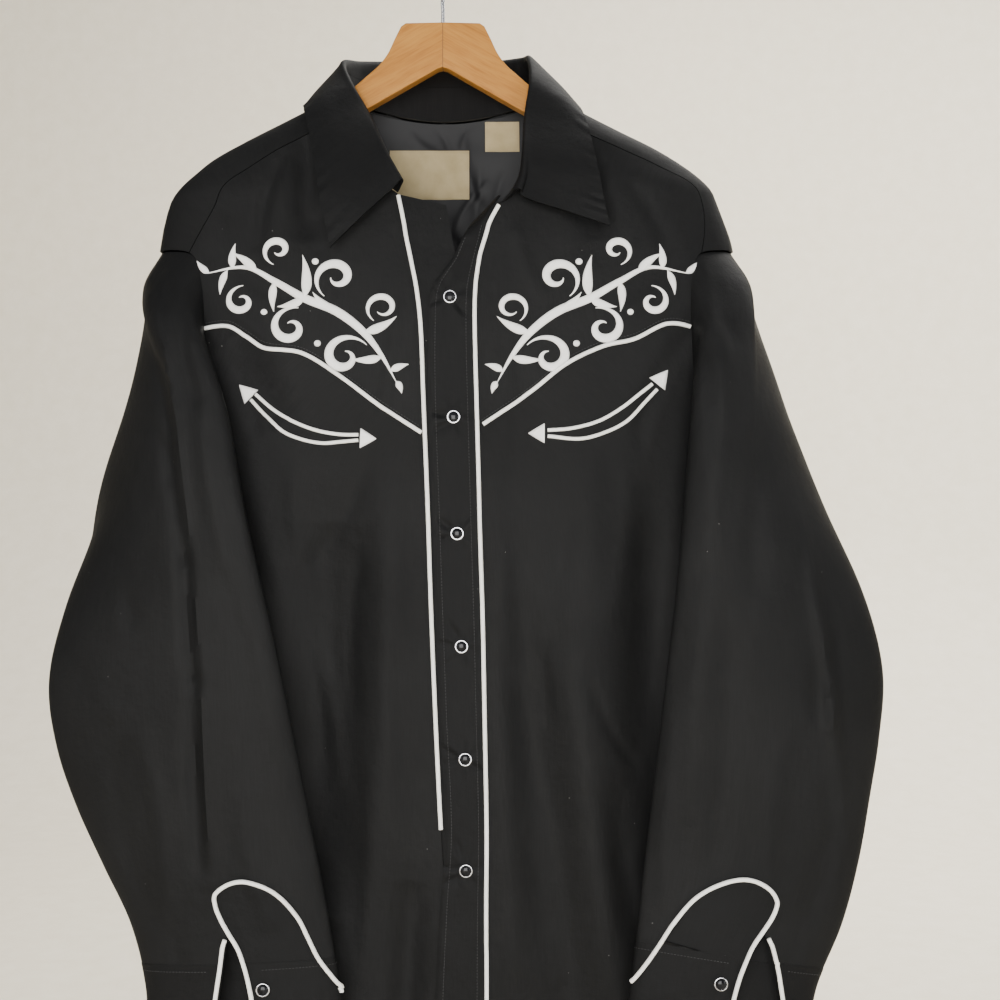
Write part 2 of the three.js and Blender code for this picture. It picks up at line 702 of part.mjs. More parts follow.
function makeStand() {
  const points = [];
  for (let r = 0; r <= 3; r += 1) {
    const row = [];
    for (let c = 0; c <= COLLAR_STATIONS; c += 1) {
      const { neck, roll } = collarStation(c / COLLAR_STATIONS);
      const up = roll.clone().sub(neck);
      const from = STAND_RISE / up.length();
      row.push(neck.clone().addScaledVector(up, from + (STAND_SHARE - from) * r / 3));
    }
    points.push(row);
  }
  return wall(addNormals(points, -1), STAND_CLOTH);
}

function makeFall() {
  const points = [];
  const shares = [0, 0.18, 0.2, 0.3, 0.4, 0.5, 0.6, 0.8, 1];
  for (let c = 0; c <= COLLAR_STATIONS; c += 1) {
    const { neck, roll, edge } = collarStation(c / COLLAR_STATIONS);
    const up = roll.clone().sub(neck).normalize();
    const out = edge.clone().sub(roll);
    out.addScaledVector(up, -out.dot(up)).normalize();
    const stand = neck.clone().lerp(roll, STAND_SHARE).addScaledVector(up, 8 * GAP);
    const outside = roll.clone().addScaledVector(out, ROLL_WIDTH).addScaledVector(up, -0.5);
    const middle = outside.clone().lerp(edge, 0.5).addScaledVector(out, 2.5);
    const curve = new THREE.CatmullRomCurve3([
      stand,
      roll.clone().addScaledVector(up, -1.5),
      roll.clone().addScaledVector(out, ROLL_WIDTH * 0.45).addScaledVector(up, 1.6),
      outside.addScaledVector(up, -1.2),
      middle,
      edge,
    ], false, 'centripetal');
    shares.forEach((share, r) => {
      points[r] = points[r] ?? [];
      points[r].push(curve.getPoint(share));
    });
  }
  return wall(addNormals(points, -1), STAND_CLOTH);
}

add('collar_stand', makeStand(), 'cloth');
add('collar_fall', makeFall(), 'cloth');

// Sleeves: four lines down each sleeve, and a smooth ring through them at each step.
// ridge is the overarm crease, inner the fold beside the front, under the underarm seam,
// outer the elbow edge. The last row of each is the cuff's lower end.
const SLEEVE_LINES = {
  right: {
    ridge: table(['z', 'x', 'y'], [[-254, -238, 0], [-285, -248, -22], [-320, -240, -46], [-376, -214, -70],
      [-427, -204, -82], [-509, -194, -88], [-598, -187, -90], [-734, -180, -90], [-827, -168, -92], [-897, -160, -94]]),
    inner: table(['z', 'x', 'y'], [[-330, -196, -40], [-376, -176, -62], [-449, -163, -72], [-509, -151, -76],
      [-586, -131, -77], [-655, -115, -77], [-723, -101, -77], [-779, -90, -78], [-852, -78, -80], [-893, -72, -80]]),
    under: table(['z', 'x', 'y'], [[-500, -238, 0], [-540, -243, -14], [-580, -232, -44], [-640, -212, -60],
      [-720, -195, -62], [-828, -160, -64], [-898, -152, -66]]),
    outer: table(['z', 'x', 'y'], [[-370, -212, 36], [-410, -259, 22], [-462, -289, 6], [-511, -296, -12],
      [-559, -310, -34], [-608, -318, -48], [-656, -310, -56], [-705, -293, -60], [-754, -270, -64],
      [-802, -246, -68], [-851, -233, -72], [-898, -232, -74]]),
    seam: { ridge: -827, inner: -824, under: -828, outer: -831 },
    end: { ridge: -897, inner: -893, under: -898, outer: -901 },
  },
  left: {
    ridge: table(['z', 'x', 'y'], [[-254, 244, 0], [-285, 257, -22], [-320, 256, -44], [-376, 253, -66],
      [-427, 250, -78], [-509, 256, -86], [-598, 266, -88], [-734, 258, -88], [-822, 236, -90], [-893, 222, -92]]),
    inner: table(['z', 'x', 'y'], [[-330, 208, -42], [-389, 201, -62], [-422, 198, -70], [-509, 190, -76],
      [-557, 185, -77], [-682, 171, -77], [-802, 157, -78], [-857, 150, -80], [-887, 147, -80]]),
    under: table(['z', 'x', 'y'], [[-500, 255, 0], [-540, 262, -14], [-580, 254, -44], [-640, 244, -60],
      [-720, 240, -62], [-828, 226, -64], [-898, 218, -66]]),
    outer: table(['z', 'x', 'y'], [[-370, 221, 36], [-413, 276, 18], [-462, 303, 0], [-511, 327, -18],
      [-559, 348, -36], [-608, 358, -48], [-656, 353, -56], [-705, 344, -60], [-754, 334, -64],
      [-802, 320, -68], [-851, 299, -72], [-902, 291, -74]]),
    seam: { ridge: -822, inner: -812, under: -828, outer: -836 },
    end: { ridge: -893, inner: -885, under: -898, outer: -906 },
  },
};
const LINE_NAMES = ['ridge', 'inner', 'under', 'outer'];
const LINE_STARTS = { ridge: -254, inner: -330, under: -500, outer: -370 };

function lineAt(side, name, t) {
  const lines = SLEEVE_LINES[side.name];
  const start = LINE_STARTS[name];
  const z = t <= 1 ? start + (lines.seam[name] - start) * t
    : lines.seam[name] + (lines.end[name] - lines.seam[name]) * (t - 1);
  return new THREE.Vector3(lines[name].x(z), lines[name].y(z), z);
}

// The smooth closed ring through four points, turn 0 at the first
function ringThrough(points, turn) {
  const [a, b, c, d] = points;
  const angle = turn * Math.PI * 2;
  const out = a.clone().add(b).add(c).add(d).multiplyScalar(0.25);
  out.addScaledVector(a.clone().sub(c), Math.cos(angle) / 2);
  out.addScaledVector(b.clone().sub(d), Math.sin(angle) / 2);
  out.addScaledVector(a.clone().sub(b).add(c).sub(d), Math.cos(2 * angle) / 4);
  return out;
}

const CAP_SHARE = 0.3;        // share of the sleeve over which the armhole's own shape fades

function sleeveAt(side, turn, t) {
  const wrapped = turn - Math.floor(turn);
  const ring = ringThrough(LINE_NAMES.map((name) => lineAt(side, name, t)), wrapped);
  const fade = Math.pow(Math.max(0, 1 - t / CAP_SHARE), 2);
  if (fade > 0) {
    const first = ringThrough(LINE_NAMES.map((name) => lineAt(side, name, 0)), wrapped);
    const seam = armholeAt(side.sign, wrapped);
    const inwards = new THREE.Vector3(0, -seam.y, -380 - seam.z).normalize();
    seam.addScaledVector(inwards, 1.5);
    seam.x += side.sign * 0.6;
    ring.addScaledVector(seam.sub(first), fade);
  }
  return ring;
}

function onSleeve(side, turn, t, lift = 0) {
  const centre = sleeveAt(side, turn, t).lerp(sleeveAt(side, turn + 0.5, t), 0.5);
  const out = sleeveAt(side, turn, t).sub(centre);
  return onSurface((a, b) => sleeveAt(side, a, b), turn, t, 0.004, 0.002, out, lift);
}

function makeSleeve(side) {
  const rows = [];
  for (let r = 0; r < RINGS; r += 1) {
    const share = r / (RINGS - 1);
    const t = 0.55 * share + 0.45 * share * share;
    const row = [];
    for (let c = 0; c < AROUND; c += 1) row.push(onSleeve(side, c / AROUND, t));
    rows.push(row);
  }
  return wall(rows, CLOTH, true);
}

// The turn and share down the sleeve whose outer point shows at x, z from the front
function sleevePoint(side, x, z, startTurn = 0) {
  let turn = startTurn;
  let t = 0.9;
  for (let i = 0; i < 40; i += 1) {
    const here = sleeveAt(side, turn, t);
    const byTurn = sleeveAt(side, turn + 0.003, t).sub(here).divideScalar(0.003);
    const byT = sleeveAt(side, turn, t + 0.003).sub(here).divideScalar(0.003);
    const det = byTurn.x * byT.z - byTurn.z * byT.x;
    const dx = x - here.x;
    const dz = z - here.z;
    const stepTurn = (dx * byT.z - dz * byT.x) / det;
    const stepT = (byTurn.x * dz - byTurn.z * dx) / det;
    turn += Math.max(-0.03, Math.min(0.03, stepTurn));
    t += Math.max(-0.1, Math.min(0.1, stepT));
  }
  return [turn, t];
}

function onSleeveFront(side, x, z, lift) {
  const [turn, t] = sleevePoint(side, x, z);
  return onSleeve(side, turn, t, lift);
}

// Cuffs: open bands that hang unsnapped. lap is the slit's edge beside the arch, under its other edge.
const CUFF_SLIT = {
  right: {
    lap: table(['z', 'x'], [[-803, -163.5], [-828, -153], [-852, -148], [-897, -140]]),
    under: table(['z', 'x'], [[-803, -165.5], [-828, -168.5], [-852, -172], [-897, -178]]),
  },
  left: {
    lap: table(['z', 'x'], [[-803, 255], [-828, 240], [-852, 233], [-893, 223]]),
    under: table(['z', 'x'], [[-803, 256.5], [-828, 263], [-852, 267], [-893, 274]]),
  },
};
const SLIT_TOP = -803;
const CUFF_LIFT = 0.35;

// The turn at which a slit edge crosses the ring at share t
function slitTurn(side, edge, t) {
  const line = CUFF_SLIT[side.name][edge];
  let turn = 0;
  for (let i = 0; i < 12; i += 1) {
    const here = sleeveAt(side, turn, t);
    const ahead = sleeveAt(side, turn + 0.002, t);
    turn += (line.x(here.z) - here.x) / ((ahead.x - here.x) / 0.002);
  }
  return turn;
}

function makeCuff(side) {
  const rows = [];
  const down = 4;
  for (let r = 0; r <= down; r += 1) {
    const t = 1.01 + 0.99 * r / down;
    const from = slitTurn(side, 'lap', t);
    const to = slitTurn(side, 'under', t) + 1;
    const row = [];
    for (let c = 0; c <= 26; c += 1) row.push(onSleeve(side, from + (to - from) * c / 26, t, CUFF_LIFT));
    rows.push(row);
  }
  return wall(rows, CUFF_CLOTH);
}

function toManifold(geometry) {
  const bare = geometry.clone();
  for (const name of Object.keys(bare.attributes)) {
    if (name !== 'position') bare.deleteAttribute(name);
  }
  const merged = mergeVertices(bare, 1e-4);
  return new wasm.Manifold(new wasm.Mesh({
    numProp: 3,
    vertProperties: new Float32Array(merged.attributes.position.array),
    triVerts: new Uint32Array(merged.index.array),
  }));
}

function fromManifold(body) {
  const mesh = body.getMesh();
  const geometry = new THREE.BufferGeometry();
  geometry.setAttribute('position', new THREE.BufferAttribute(new Float32Array(mesh.vertProperties), 3));
  geometry.setIndex(new THREE.BufferAttribute(new Uint32Array(mesh.triVerts), 1));
  return geometry;
}

// A wedge through the sleeve's front layer opens its slit above the cuff
function cutSlit(side, geometry) {
  const slit = CUFF_SLIT[side.name];
  const low = -845;
  const middle = new THREE.Shape();
  middle.moveTo((slit.lap.x(SLIT_TOP) + slit.under.x(SLIT_TOP)) / 2, SLIT_TOP);
  middle.lineTo(slit.lap.x(low), low);
  middle.lineTo(slit.under.x(low), low);
  middle.closePath();
  const wedge = new THREE.ExtrudeGeometry(middle, { depth: 60, bevelEnabled: false });
  wedge.rotateX(Math.PI / 2);
  wedge.translate(0, -79, 0);
  return fromManifold(toManifold(geometry).subtract(toManifold(wedge)));
}

for (const side of SIDES) {
  add(`sleeve_${side.name}`, cutSlit(side, makeSleeve(side)), 'cloth');
  add(`cuff_${side.name}`, makeCuff(side), 'cloth');
}

// Cuff arches: a shaped patch on the sleeve above each cuff, piped round its upper edge
const ARCH = {
  right: {
    leg: [[-152.6, -825], [-157, -813], [-164, -801.5], [-170, -791], [-174.5, -780]],
    top: [[-174.5, -780], [-175, -771], [-166, -763.5], [-154, -760.5], [-143, -762.5], [-126, -772.5], [-111, -790]],
    fall: [[-111, -790], [-104, -804], [-96, -821]],
    cross: [[-96, -821], [-85, -837.5], [-76, -850.5]],
    seam: [-824.5, -822.5],
  },
  left: {
    leg: [[240, -825], [246, -812], [255, -799], [261, -790], [264.5, -782]],
    top: [[264.5, -782], [265, -777], [260, -768], [250, -761.5], [238, -759.5], [222, -763], [202, -774], [184, -795]],
    fall: [[184, -795], [179.5, -802], [175, -809.5]],
    cross: [[175, -809.5], [165, -825], [157, -836.5], [153, -842]],
    seam: [-823.5, -808],
  },
};
const ARCH_INSET = BEAD + GAP;
const ARCH_LIFT = 0.4;

function makeArch(side) {
  const arch = ARCH[side.name];
  const inset = side.sign * ARCH_INSET;
  const leg = moved(path(arch.leg), inset);
  const top = moved(path(arch.top), inset);
  const fall = moved(path(arch.fall), inset);
  const corner = (a, b) => [(a[0] + b[0]) / 2, (a[1] + b[1]) / 2];
  const upperLeg = corner(leg(1), top(0));
  const upperFall = corner(top(1), fall(0));
  const seamStart = [leg(0)[0], arch.seam[0]];
  const seamEnd = [fall(1)[0] + side.sign * 0.8, arch.seam[1]];
  const edges = {
    top: (u) => (u === 0 ? upperLeg : u === 1 ? upperFall : top(u)),
    bottom: (u) => [seamStart[0] + (seamEnd[0] - seamStart[0]) * u, seamStart[1] + (seamEnd[1] - seamStart[1]) * u],
    start: (v) => (v === 0 ? upperLeg : v === 1 ? seamStart : leg(1 - v)),
    end: (v) => (v === 0 ? upperFall : v === 1 ? seamEnd : fall(v)),
  };
  const place = (x, z) => onSleeveFront(side, x, z, ARCH_LIFT + CLOTH);
  return wall(patch(edges, 9, 5, place), CLOTH);
}

// Piping: a bead swept along nodes of {point, normal}
function bead(nodes, radius = BEAD, around = 6) {
  const rings = nodes.map((node, i) => {
    const ahead = nodes[Math.min(i + 1, nodes.length - 1)].point;
    const along = ahead.clone().sub(nodes[Math.max(i - 1, 0)].point).normalize();
    const across = along.clone().cross(node.normal).normalize();
    const up = across.clone().cross(along).normalize();
    return Array.from({ length: around }, (_, k) => {
      const angle = (k + 0.5) / around * Math.PI * 2;
      return node.point.clone().addScaledVector(across, radius * Math.cos(angle))
        .addScaledVector(up, radius * Math.sin(angle));
    });
  });
  const vertices = rings.flat();
  const faces = [];
  for (let i = 0; i < rings.length - 1; i += 1) {
    for (let k = 0; k < around; k += 1) {
      const a = i * around + k;
      const b = i * around + (k + 1) % around;
      faces.push([a, b, b + around], [a, b + around, a + around]);
    }
  }
  const last = (rings.length - 1) * around;
  for (let k = 1; k < around - 1; k += 1) {
    faces.push([0, k + 1, k], [last, last + k, last + k + 1]);
  }
  return solid(vertices, faces);
}

const BEAD_LIFT = BEAD * Math.cos(Math.PI / 6) + GAP;

function steps(count, from = 0, to = 1) {
  return Array.from({ length: count + 1 }, (_, i) => from + (to - from) * i / count);
}

function makeYokePiping(side) {
  const nodes = steps(24, 0.015, side.sign < 0 ? 0.985 : 0.965).map((u) => {
    const [x, z] = yokeSeamPoint(side, u);
    return onFacets(x, z - SEAM, BEAD_LIFT + 0.2);
  });
  return bead(nodes);
}

const UNDER_PIPING_END = -728;

// Where the neck stands open the piping stands a little further off the turned lap
function lapShift(z) {
  return 1.6 * Math.max(0, Math.min(1, (z + 262) / 20));
}

function makePlacketPiping(side) {
  if (side.sign < 0) {
    return bead(steps(22, -214, UNDER_PIPING_END).map((z) => onFacets(OPENING.under(z) - GAP, z, BEAD_LIFT + 0.2)));
  }
  return bead(steps(30, -236, HEM_CENTRE + 1).map((z) => onFacets(OPENING.lap(z) + lapShift(z), z, BEAD_LIFT + 0.3)));
}

function makeArchPiping(side) {
  const arch = ARCH[side.name];
  const slit = CUFF_SLIT[side.name].lap;
  const low = SLEEVE_LINES[side.name].end.ridge + 1;
  const route = path([[slit.x(low) - side.sign * 2, low], [slit.x(-860) - side.sign * 2, -860],
    [slit.x(-838) - side.sign * 1.5, -838], ...arch.leg, ...arch.top.slice(1), ...arch.fall.slice(1),
    ...arch.cross.slice(1)]);
  return bead(steps(34).map((u) => {
    const [x, z] = route(u);
    return onSleeveFront(side, x, z, BEAD_LIFT + CUFF_LIFT + 0.4);
  }));
}

function makeSlitPiping(side) {
  const slit = CUFF_SLIT[side.name].under;
  const top = SLIT_TOP - 3;
  const low = SLEEVE_LINES[side.name].end.ridge + 1;
  return bead(steps(8, top, low).map((z) => {
    const x = slit.x(z) + side.sign * 2.4 * Math.min(1, (top - z) / 12 + 0.5);
    return onSleeveFront(side, x, z, BEAD_LIFT + CUFF_LIFT + 0.2);
  }));
}

for (const side of SIDES) {
  add(`cuff_arch_${side.name}`, makeArch(side), 'cloth');
  add(`piping_yoke_${side.name}`, makeYokePiping(side), 'piping');
  add(`piping_placket_${side.name}`, makePlacketPiping(side), 'piping');
  add(`piping_arch_${side.name}`, makeArchPiping(side), 'piping');
  add(`piping_slit_${side.name}`, makeSlitPiping(side), 'piping');
}

// Smile pockets: two piped lines that meet at an arrowhead on each end
const SMILE = {
  right: {
    upper: [[-151, -376], [-137, -388], [-118, -399], [-99, -406], [-81, -409], [-66.5, -409.3]],
    lower: [[-155, -380.5], [-142, -394], [-127, -407], [-112, -413], [-96, -416], [-81, -415], [-66.5, -413.7]],
    arrows: [[[-165, -368], [-149.5, -372], [-160, -384]], [[-52, -412.5], [-65, -404], [-65, -420]]],
  },
  left: {
    upper: [[171.5, -367.5], [162, -375], [147, -387], [128, -398], [106, -404], [86.5, -405.6]],
    lower: [[176, -372], [165, -383], [150, -398.5], [131, -408], [113, -412.5], [86.5, -410.4]],
    arrows: [[[185, -356], [170, -362], [182, -373]], [[71, -408], [84, -400], [84, -416]]],
  },
};
const SMILE_BEAD = 1.5;

function makeSmileLine(side, name) {
  const route = path(SMILE[side.name][name]);
  return bead(steps(10, 0.05, 0.95).map((u) => {
    const [x, z] = route(u);
    return onFacets(x, z, SMILE_BEAD * Math.cos(Math.PI / 6) + GAP + 0.25);
  }), SMILE_BEAD);
}

function makeArrow(side, index) {
  const corners = SMILE[side.name].arrows[index];
  const nodes = corners.map(([x, z]) => onFacets(x, z, 2.3));
  const base = corners.map(([x, z]) => onFacets(x, z, GAP + 0.4));
  const vertices = [...nodes, ...base].map((node) => node.point);
  const faces = [[0, 1, 2], [3, 5, 4], [0, 3, 1], [1, 3, 4], [1, 4, 2], [2, 4, 5], [2, 5, 0], [0, 5, 3]];
  return solid(vertices, faces);
}

for (const side of SIDES) {
  for (const name of ['upper', 'lower']) add(`smile_${name}_${side.name}`, makeSmileLine(side, name), 'piping');
  add(`arrow_side_${side.name}`, makeArrow(side, 0), 'piping');
  add(`arrow_centre_${side.name}`, makeArrow(side, 1), 'piping');
}

// Inside the neck: the satin lining of the back yoke and two labels on it
const LINING_LIFT = -(CLOTH + GAP + 0.7);
const LABEL_LIFT = LINING_LIFT - LINING - GAP - 0.2;

// The back neck seam's height, lowest at the middle
function backNeckZ(x) {
  return -137 + 6 * Math.pow(x / 70, 2);
}

function makeLining() {
  const rows = [];
  for (let r = 0; r <= 7; r += 1) {
    const row = [];
    for (let c = 0; c <= 12; c += 1) {
      const x = -78 + 156 * c / 12;
      const top = Math.abs(x) > 62 ? -156 : backNeckZ(x) - 6;
      row.push(onBack(x, top + (-310 - top) * r / 7, LINING_LIFT));
    }
    rows.push(row);
  }
  return wall(rows, LINING);
}

function makeLabel(left, right, top, bottom) {
  const rows = [];
  for (let r = 0; r <= 2; r += 1) {
    const row = [];
    for (let c = 0; c <= 4; c += 1) {
      row.push(onBack(left + (right - left) * c / 4, top + (bottom - top) * r / 2, LABEL_LIFT));
    }
    rows.push(row);
  }
  return wall(rows, LINING);
}

add('yoke_lining', makeLining(), 'satin');
add('label_main', makeLabel(-47, 21.5, -161, -202.5), 'label');
add('label_care', makeLabel(35.5, 65, -136.5, -162), 'label');

// Snaps: a metal rim with a black pearl cap set in it
const RIM_PROFILE = [[0, 0], [4.6, 0], [SNAP_RADIUS, 0.6], [SNAP_RADIUS - 0.2, 1.5], [4.75, 1.9], [4.6, 0.9], [0, 0.9]];
const PEARL_PROFILE = [[0, 1.2], [4.3, 1.2], [4.3, 1.7], [3.2, 2.6], [1.7, 3.1], [0, 3.25]];
const SNAP_SEGMENTS = 10;

function lathe(profile, node) {
  const geometry = new THREE.LatheGeometry(profile.map(([r, h]) => new THREE.Vector2(r, h)), SNAP_SEGMENTS);
  const turn = new THREE.Quaternion().setFromUnitVectors(new THREE.Vector3(0, 1, 0), node.normal);
  geometry.applyQuaternion(turn);
  geometry.translate(node.point.x, node.point.y, node.point.z);
  return geometry;
}

const SNAP_SEAT = GAP + 0.15;
const frontSnaps = [[7.5, -298], [10.5, -395], [13.5, -489], [17, -580], [20, -671], [20.5, -761]];
const snaps = frontSnaps.map(([x, z], i) => ({ name: `front_${i + 1}`, node: onFront(x, z, LAP_LIFT + SNAP_SEAT) }));
const CUFF_SNAP = { right: [-137.5, -845], left: [221, -841] };
for (const side of SIDES) {
  const [x, z] = CUFF_SNAP[side.name];
  snaps.push({ name: `cuff_${side.name}`, node: onSleeveFront(side, x, z, CUFF_LIFT + SNAP_SEAT) });
}
for (const { name, node } of snaps) {
  add(`snap_rim_${name}`, lathe(RIM_PROFILE, node), 'wire');
  add(`snap_pearl_${name}`, lathe(PEARL_PROFILE, node), 'pearl');
}

export default shirt;
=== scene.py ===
# %% [markdown]
# # A western snap shirt on a wooden hanger
# A shirt is flat cloth that has been cut, seamed and hung up. Here each cut piece is one thin shell, worked
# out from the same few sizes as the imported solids, on a finer grid and with more creases. Modelling by
# formula was chosen over cloth simulation because the folds of this shirt have known places, and a formula
# puts them there.

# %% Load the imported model
import math
import bmesh
import bpy
import numpy as np
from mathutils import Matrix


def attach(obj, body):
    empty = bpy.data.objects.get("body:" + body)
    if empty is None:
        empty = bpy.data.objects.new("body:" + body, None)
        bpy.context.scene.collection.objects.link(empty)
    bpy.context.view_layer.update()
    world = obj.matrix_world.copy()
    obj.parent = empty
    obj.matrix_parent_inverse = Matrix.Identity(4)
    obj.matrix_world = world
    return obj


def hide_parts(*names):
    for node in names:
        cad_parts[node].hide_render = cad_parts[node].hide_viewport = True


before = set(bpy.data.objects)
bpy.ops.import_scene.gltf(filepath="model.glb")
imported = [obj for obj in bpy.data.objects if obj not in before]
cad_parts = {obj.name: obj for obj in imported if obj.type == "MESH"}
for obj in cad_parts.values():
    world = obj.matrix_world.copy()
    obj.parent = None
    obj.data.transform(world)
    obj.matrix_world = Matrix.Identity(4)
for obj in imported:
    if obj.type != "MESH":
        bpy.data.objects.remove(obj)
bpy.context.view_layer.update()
scene = bpy.context.scene
SIDES = {"right": -1, "left": 1}  # the wearer's right is on the viewer's left

# %% [markdown]
# The camera stands a good metre before the shirt, level and near its middle, as the photographer did.
# Its lens is worked out from how many pixels a known width covers, so no fitting is needed later.

# %% Camera
PIXELS_PER_UNIT_SLOPE = 1543
PICTURE_WIDTH, SENSOR_WIDTH = 1000, 36
camera_data = bpy.data.cameras.new("camera")
camera_data.sensor_width = SENSOR_WIDTH
camera_data.lens = PIXELS_PER_UNIT_SLOPE / PICTURE_WIDTH * SENSOR_WIDTH
camera = bpy.data.objects.new("camera", camera_data)
camera.location = (0.048, -1.3, -0.462)
camera.rotation_euler = (math.pi / 2, 0, 0)
scene.collection.objects.link(camera)
scene.camera = camera
print("lens", round(camera_data.lens, 2), "mm")

# %% [markdown]
# Every curve of the shirt is a smooth line through a short table. A cubic between neighbouring rows, with
# slopes taken from the rows on each side, passes through all of them without swinging wide.

# %% Smooth tables
def through(keys, values, at):
    keys = np.asarray(keys, float)
    values = np.asarray(values, float)
    at = np.asarray(at, float)
    last = len(keys) - 1
    lo = np.maximum(np.arange(last + 1) - 1, 0)
    hi = np.minimum(np.arange(last + 1) + 1, last)
    slope = (values[hi] - values[lo]) / (keys[hi] - keys[lo])
    i = np.clip(np.searchsorted(keys, at, side="left") - 1, 0, last - 1)
    span = keys[i + 1] - keys[i]
    t = np.clip((at - keys[i]) / span, 0, 1)
    inside = ((2 * t**3 - 3 * t**2 + 1) * values[i] + (t**3 - 2 * t**2 + t) * span * slope[i]
              + (3 * t**2 - 2 * t**3) * values[i + 1] + (t**3 - t**2) * span * slope[i + 1])
    below = values[0] + slope[0] * (at - keys[0])
    above = values[-1] + slope[-1] * (at - keys[-1])
    return np.where(at <= keys[0], below, np.where(at >= keys[-1], above, inside))


class Table:
    def __init__(self, names, rows):
        data = np.array(sorted(rows), float)
        self.keys = data[:, 0]
        for j, name in enumerate(names[1:], 1):
            setattr(self, name, lambda at, v=data[:, j]: through(self.keys, v, at))


def smooth_line(points, per_span=24):
    p = np.asarray(points, float)
    ends = np.vstack([2 * p[0] - p[1], p, 2 * p[-1] - p[-2]])
    t = np.linspace(0, 1, per_span, endpoint=False)[:, None]
    spans = []
    for i in range(1, len(ends) - 2):
        a, b, c, d = ends[i - 1:i + 3]
        before, here, after = (max(np.linalg.norm(w) ** 0.5, 1e-4) for w in (b - a, c - b, d - c))
        out = ((b - a) / before - (c - a) / (before + here) + (c - b) / here) * here
        back = ((c - b) / here - (d - b) / (here + after) + (d - c) / after) * here
        spans.append((2 * t**3 - 3 * t**2 + 1) * b + (t**3 - 2 * t**2 + t) * out
                     + (3 * t**2 - 2 * t**3) * c + (t**3 - t**2) * back)
    return np.vstack(spans + [p[-1:]])


def path(points):
    line = smooth_line(points)
    length = np.concatenate([[0], np.cumsum(np.linalg.norm(np.diff(line, axis=0), axis=1))])

    def at(t):
        s = np.clip(t, 0, 1) * length[-1]
        return np.stack([np.interp(s, length, line[:, k]) for k in range(line.shape[1])], -1)

    return at


def moved(route, offset):
    def at(t):
        t = np.asarray(t, float)
        run = route(np.minimum(1, t + 0.01)) - route(np.maximum(0, t - 0.01))
        run /= np.linalg.norm(run, axis=-1, keepdims=True)
        return route(t) + offset * np.stack([-run[..., 1], run[..., 0]], -1)

    return at


print("a table passes through its rows:", float(through([0, 1, 3], [2, 5, 4], 1.0)))

# %% [markdown]
# The body of the shirt is a flattened tube. Each row of this table is a level cut through it, in
# millimetres from the inside top of the hook: its middle, half its width, how far it stands out in front
# and behind, and how square it is. Big folds are soft ridges and troughs along lines.

# %% The body's form
UNDERARM, HEM_SIDE, HEM_CENTRE = -500, -905, -938
BODY = Table(["z", "centre", "half", "front", "back", "power"], [
    [-104, 0, 55, 15, 26, 2.1], [-118, 0, 84, 19, 28, 2.1], [-134, 0, 113, 24, 31, 2.15],
    [-151, 0, 146, 29, 33, 2.2], [-168, 0, 180, 33, 34, 2.25], [-185, 0, 207, 36, 36, 2.3],
    [-200, 0, 224, 39, 37, 2.4], [-212, 0, 230, 41, 37, 2.4], [-254, 3, 241, 46, 37, 2.5],
    [-320, 5, 243, 51, 38, 2.6], [-500, 9, 246, 54, 38, 2.7], [-700, 15, 252, 53, 37, 2.7],
    [-940, 21, 262, 48, 36, 2.7]])
# side (front -1, back 1), x0, z0, x1, z1, width, height of each large fold
FOLDS = [[-1, -90, -480, -104, -800, 30, -15], [-1, -42, -440, -44, -780, 17, 6],
         [-1, -22, -770, -32, -935, 13, -9], [-1, 58, -540, 112, -930, 18, -8],
         [-1, 92, -520, 150, -900, 17, 6], [-1, 44, -470, 58, -860, 14, 5],
         [-1, 172, -470, 178, -800, 24, -11], [-1, 118, -430, 128, -700, 20, 5],
         [-1, -112, -160, -106, -250, 13, -6], [-1, 120, -165, 128, -250, 14, -5],
         [-1, -170, -330, -130, -400, 15, -5], [1, -90, -400, -110, -900, 28, 9],
         [1, 10, -380, 0, -900, 26, -9], [1, 95, -420, 120, -880, 24, 8], [1, 178, -420, 196, -860, 20, -7]]


def fold_height(x, z, side):
    total = np.zeros(np.broadcast(x, z).shape)
    for which, x0, z0, x1, z1, width, height in FOLDS:
        dx, dz = x1 - x0, z1 - z0
        t = np.clip(((x - x0) * dx + (z - z0) * dz) / (dx * dx + dz * dz), 0, 1)
        off = np.hypot(x - x0 - t * dx, z - z0 - t * dz) / width
        fade = np.sqrt(4 * t * (1 - t) + 0.06)
        total += np.where(side == which, height, 0) * fade * np.exp(-off * off)
    return total


print("deepest fold", min(row[-1] for row in FOLDS), "mm")
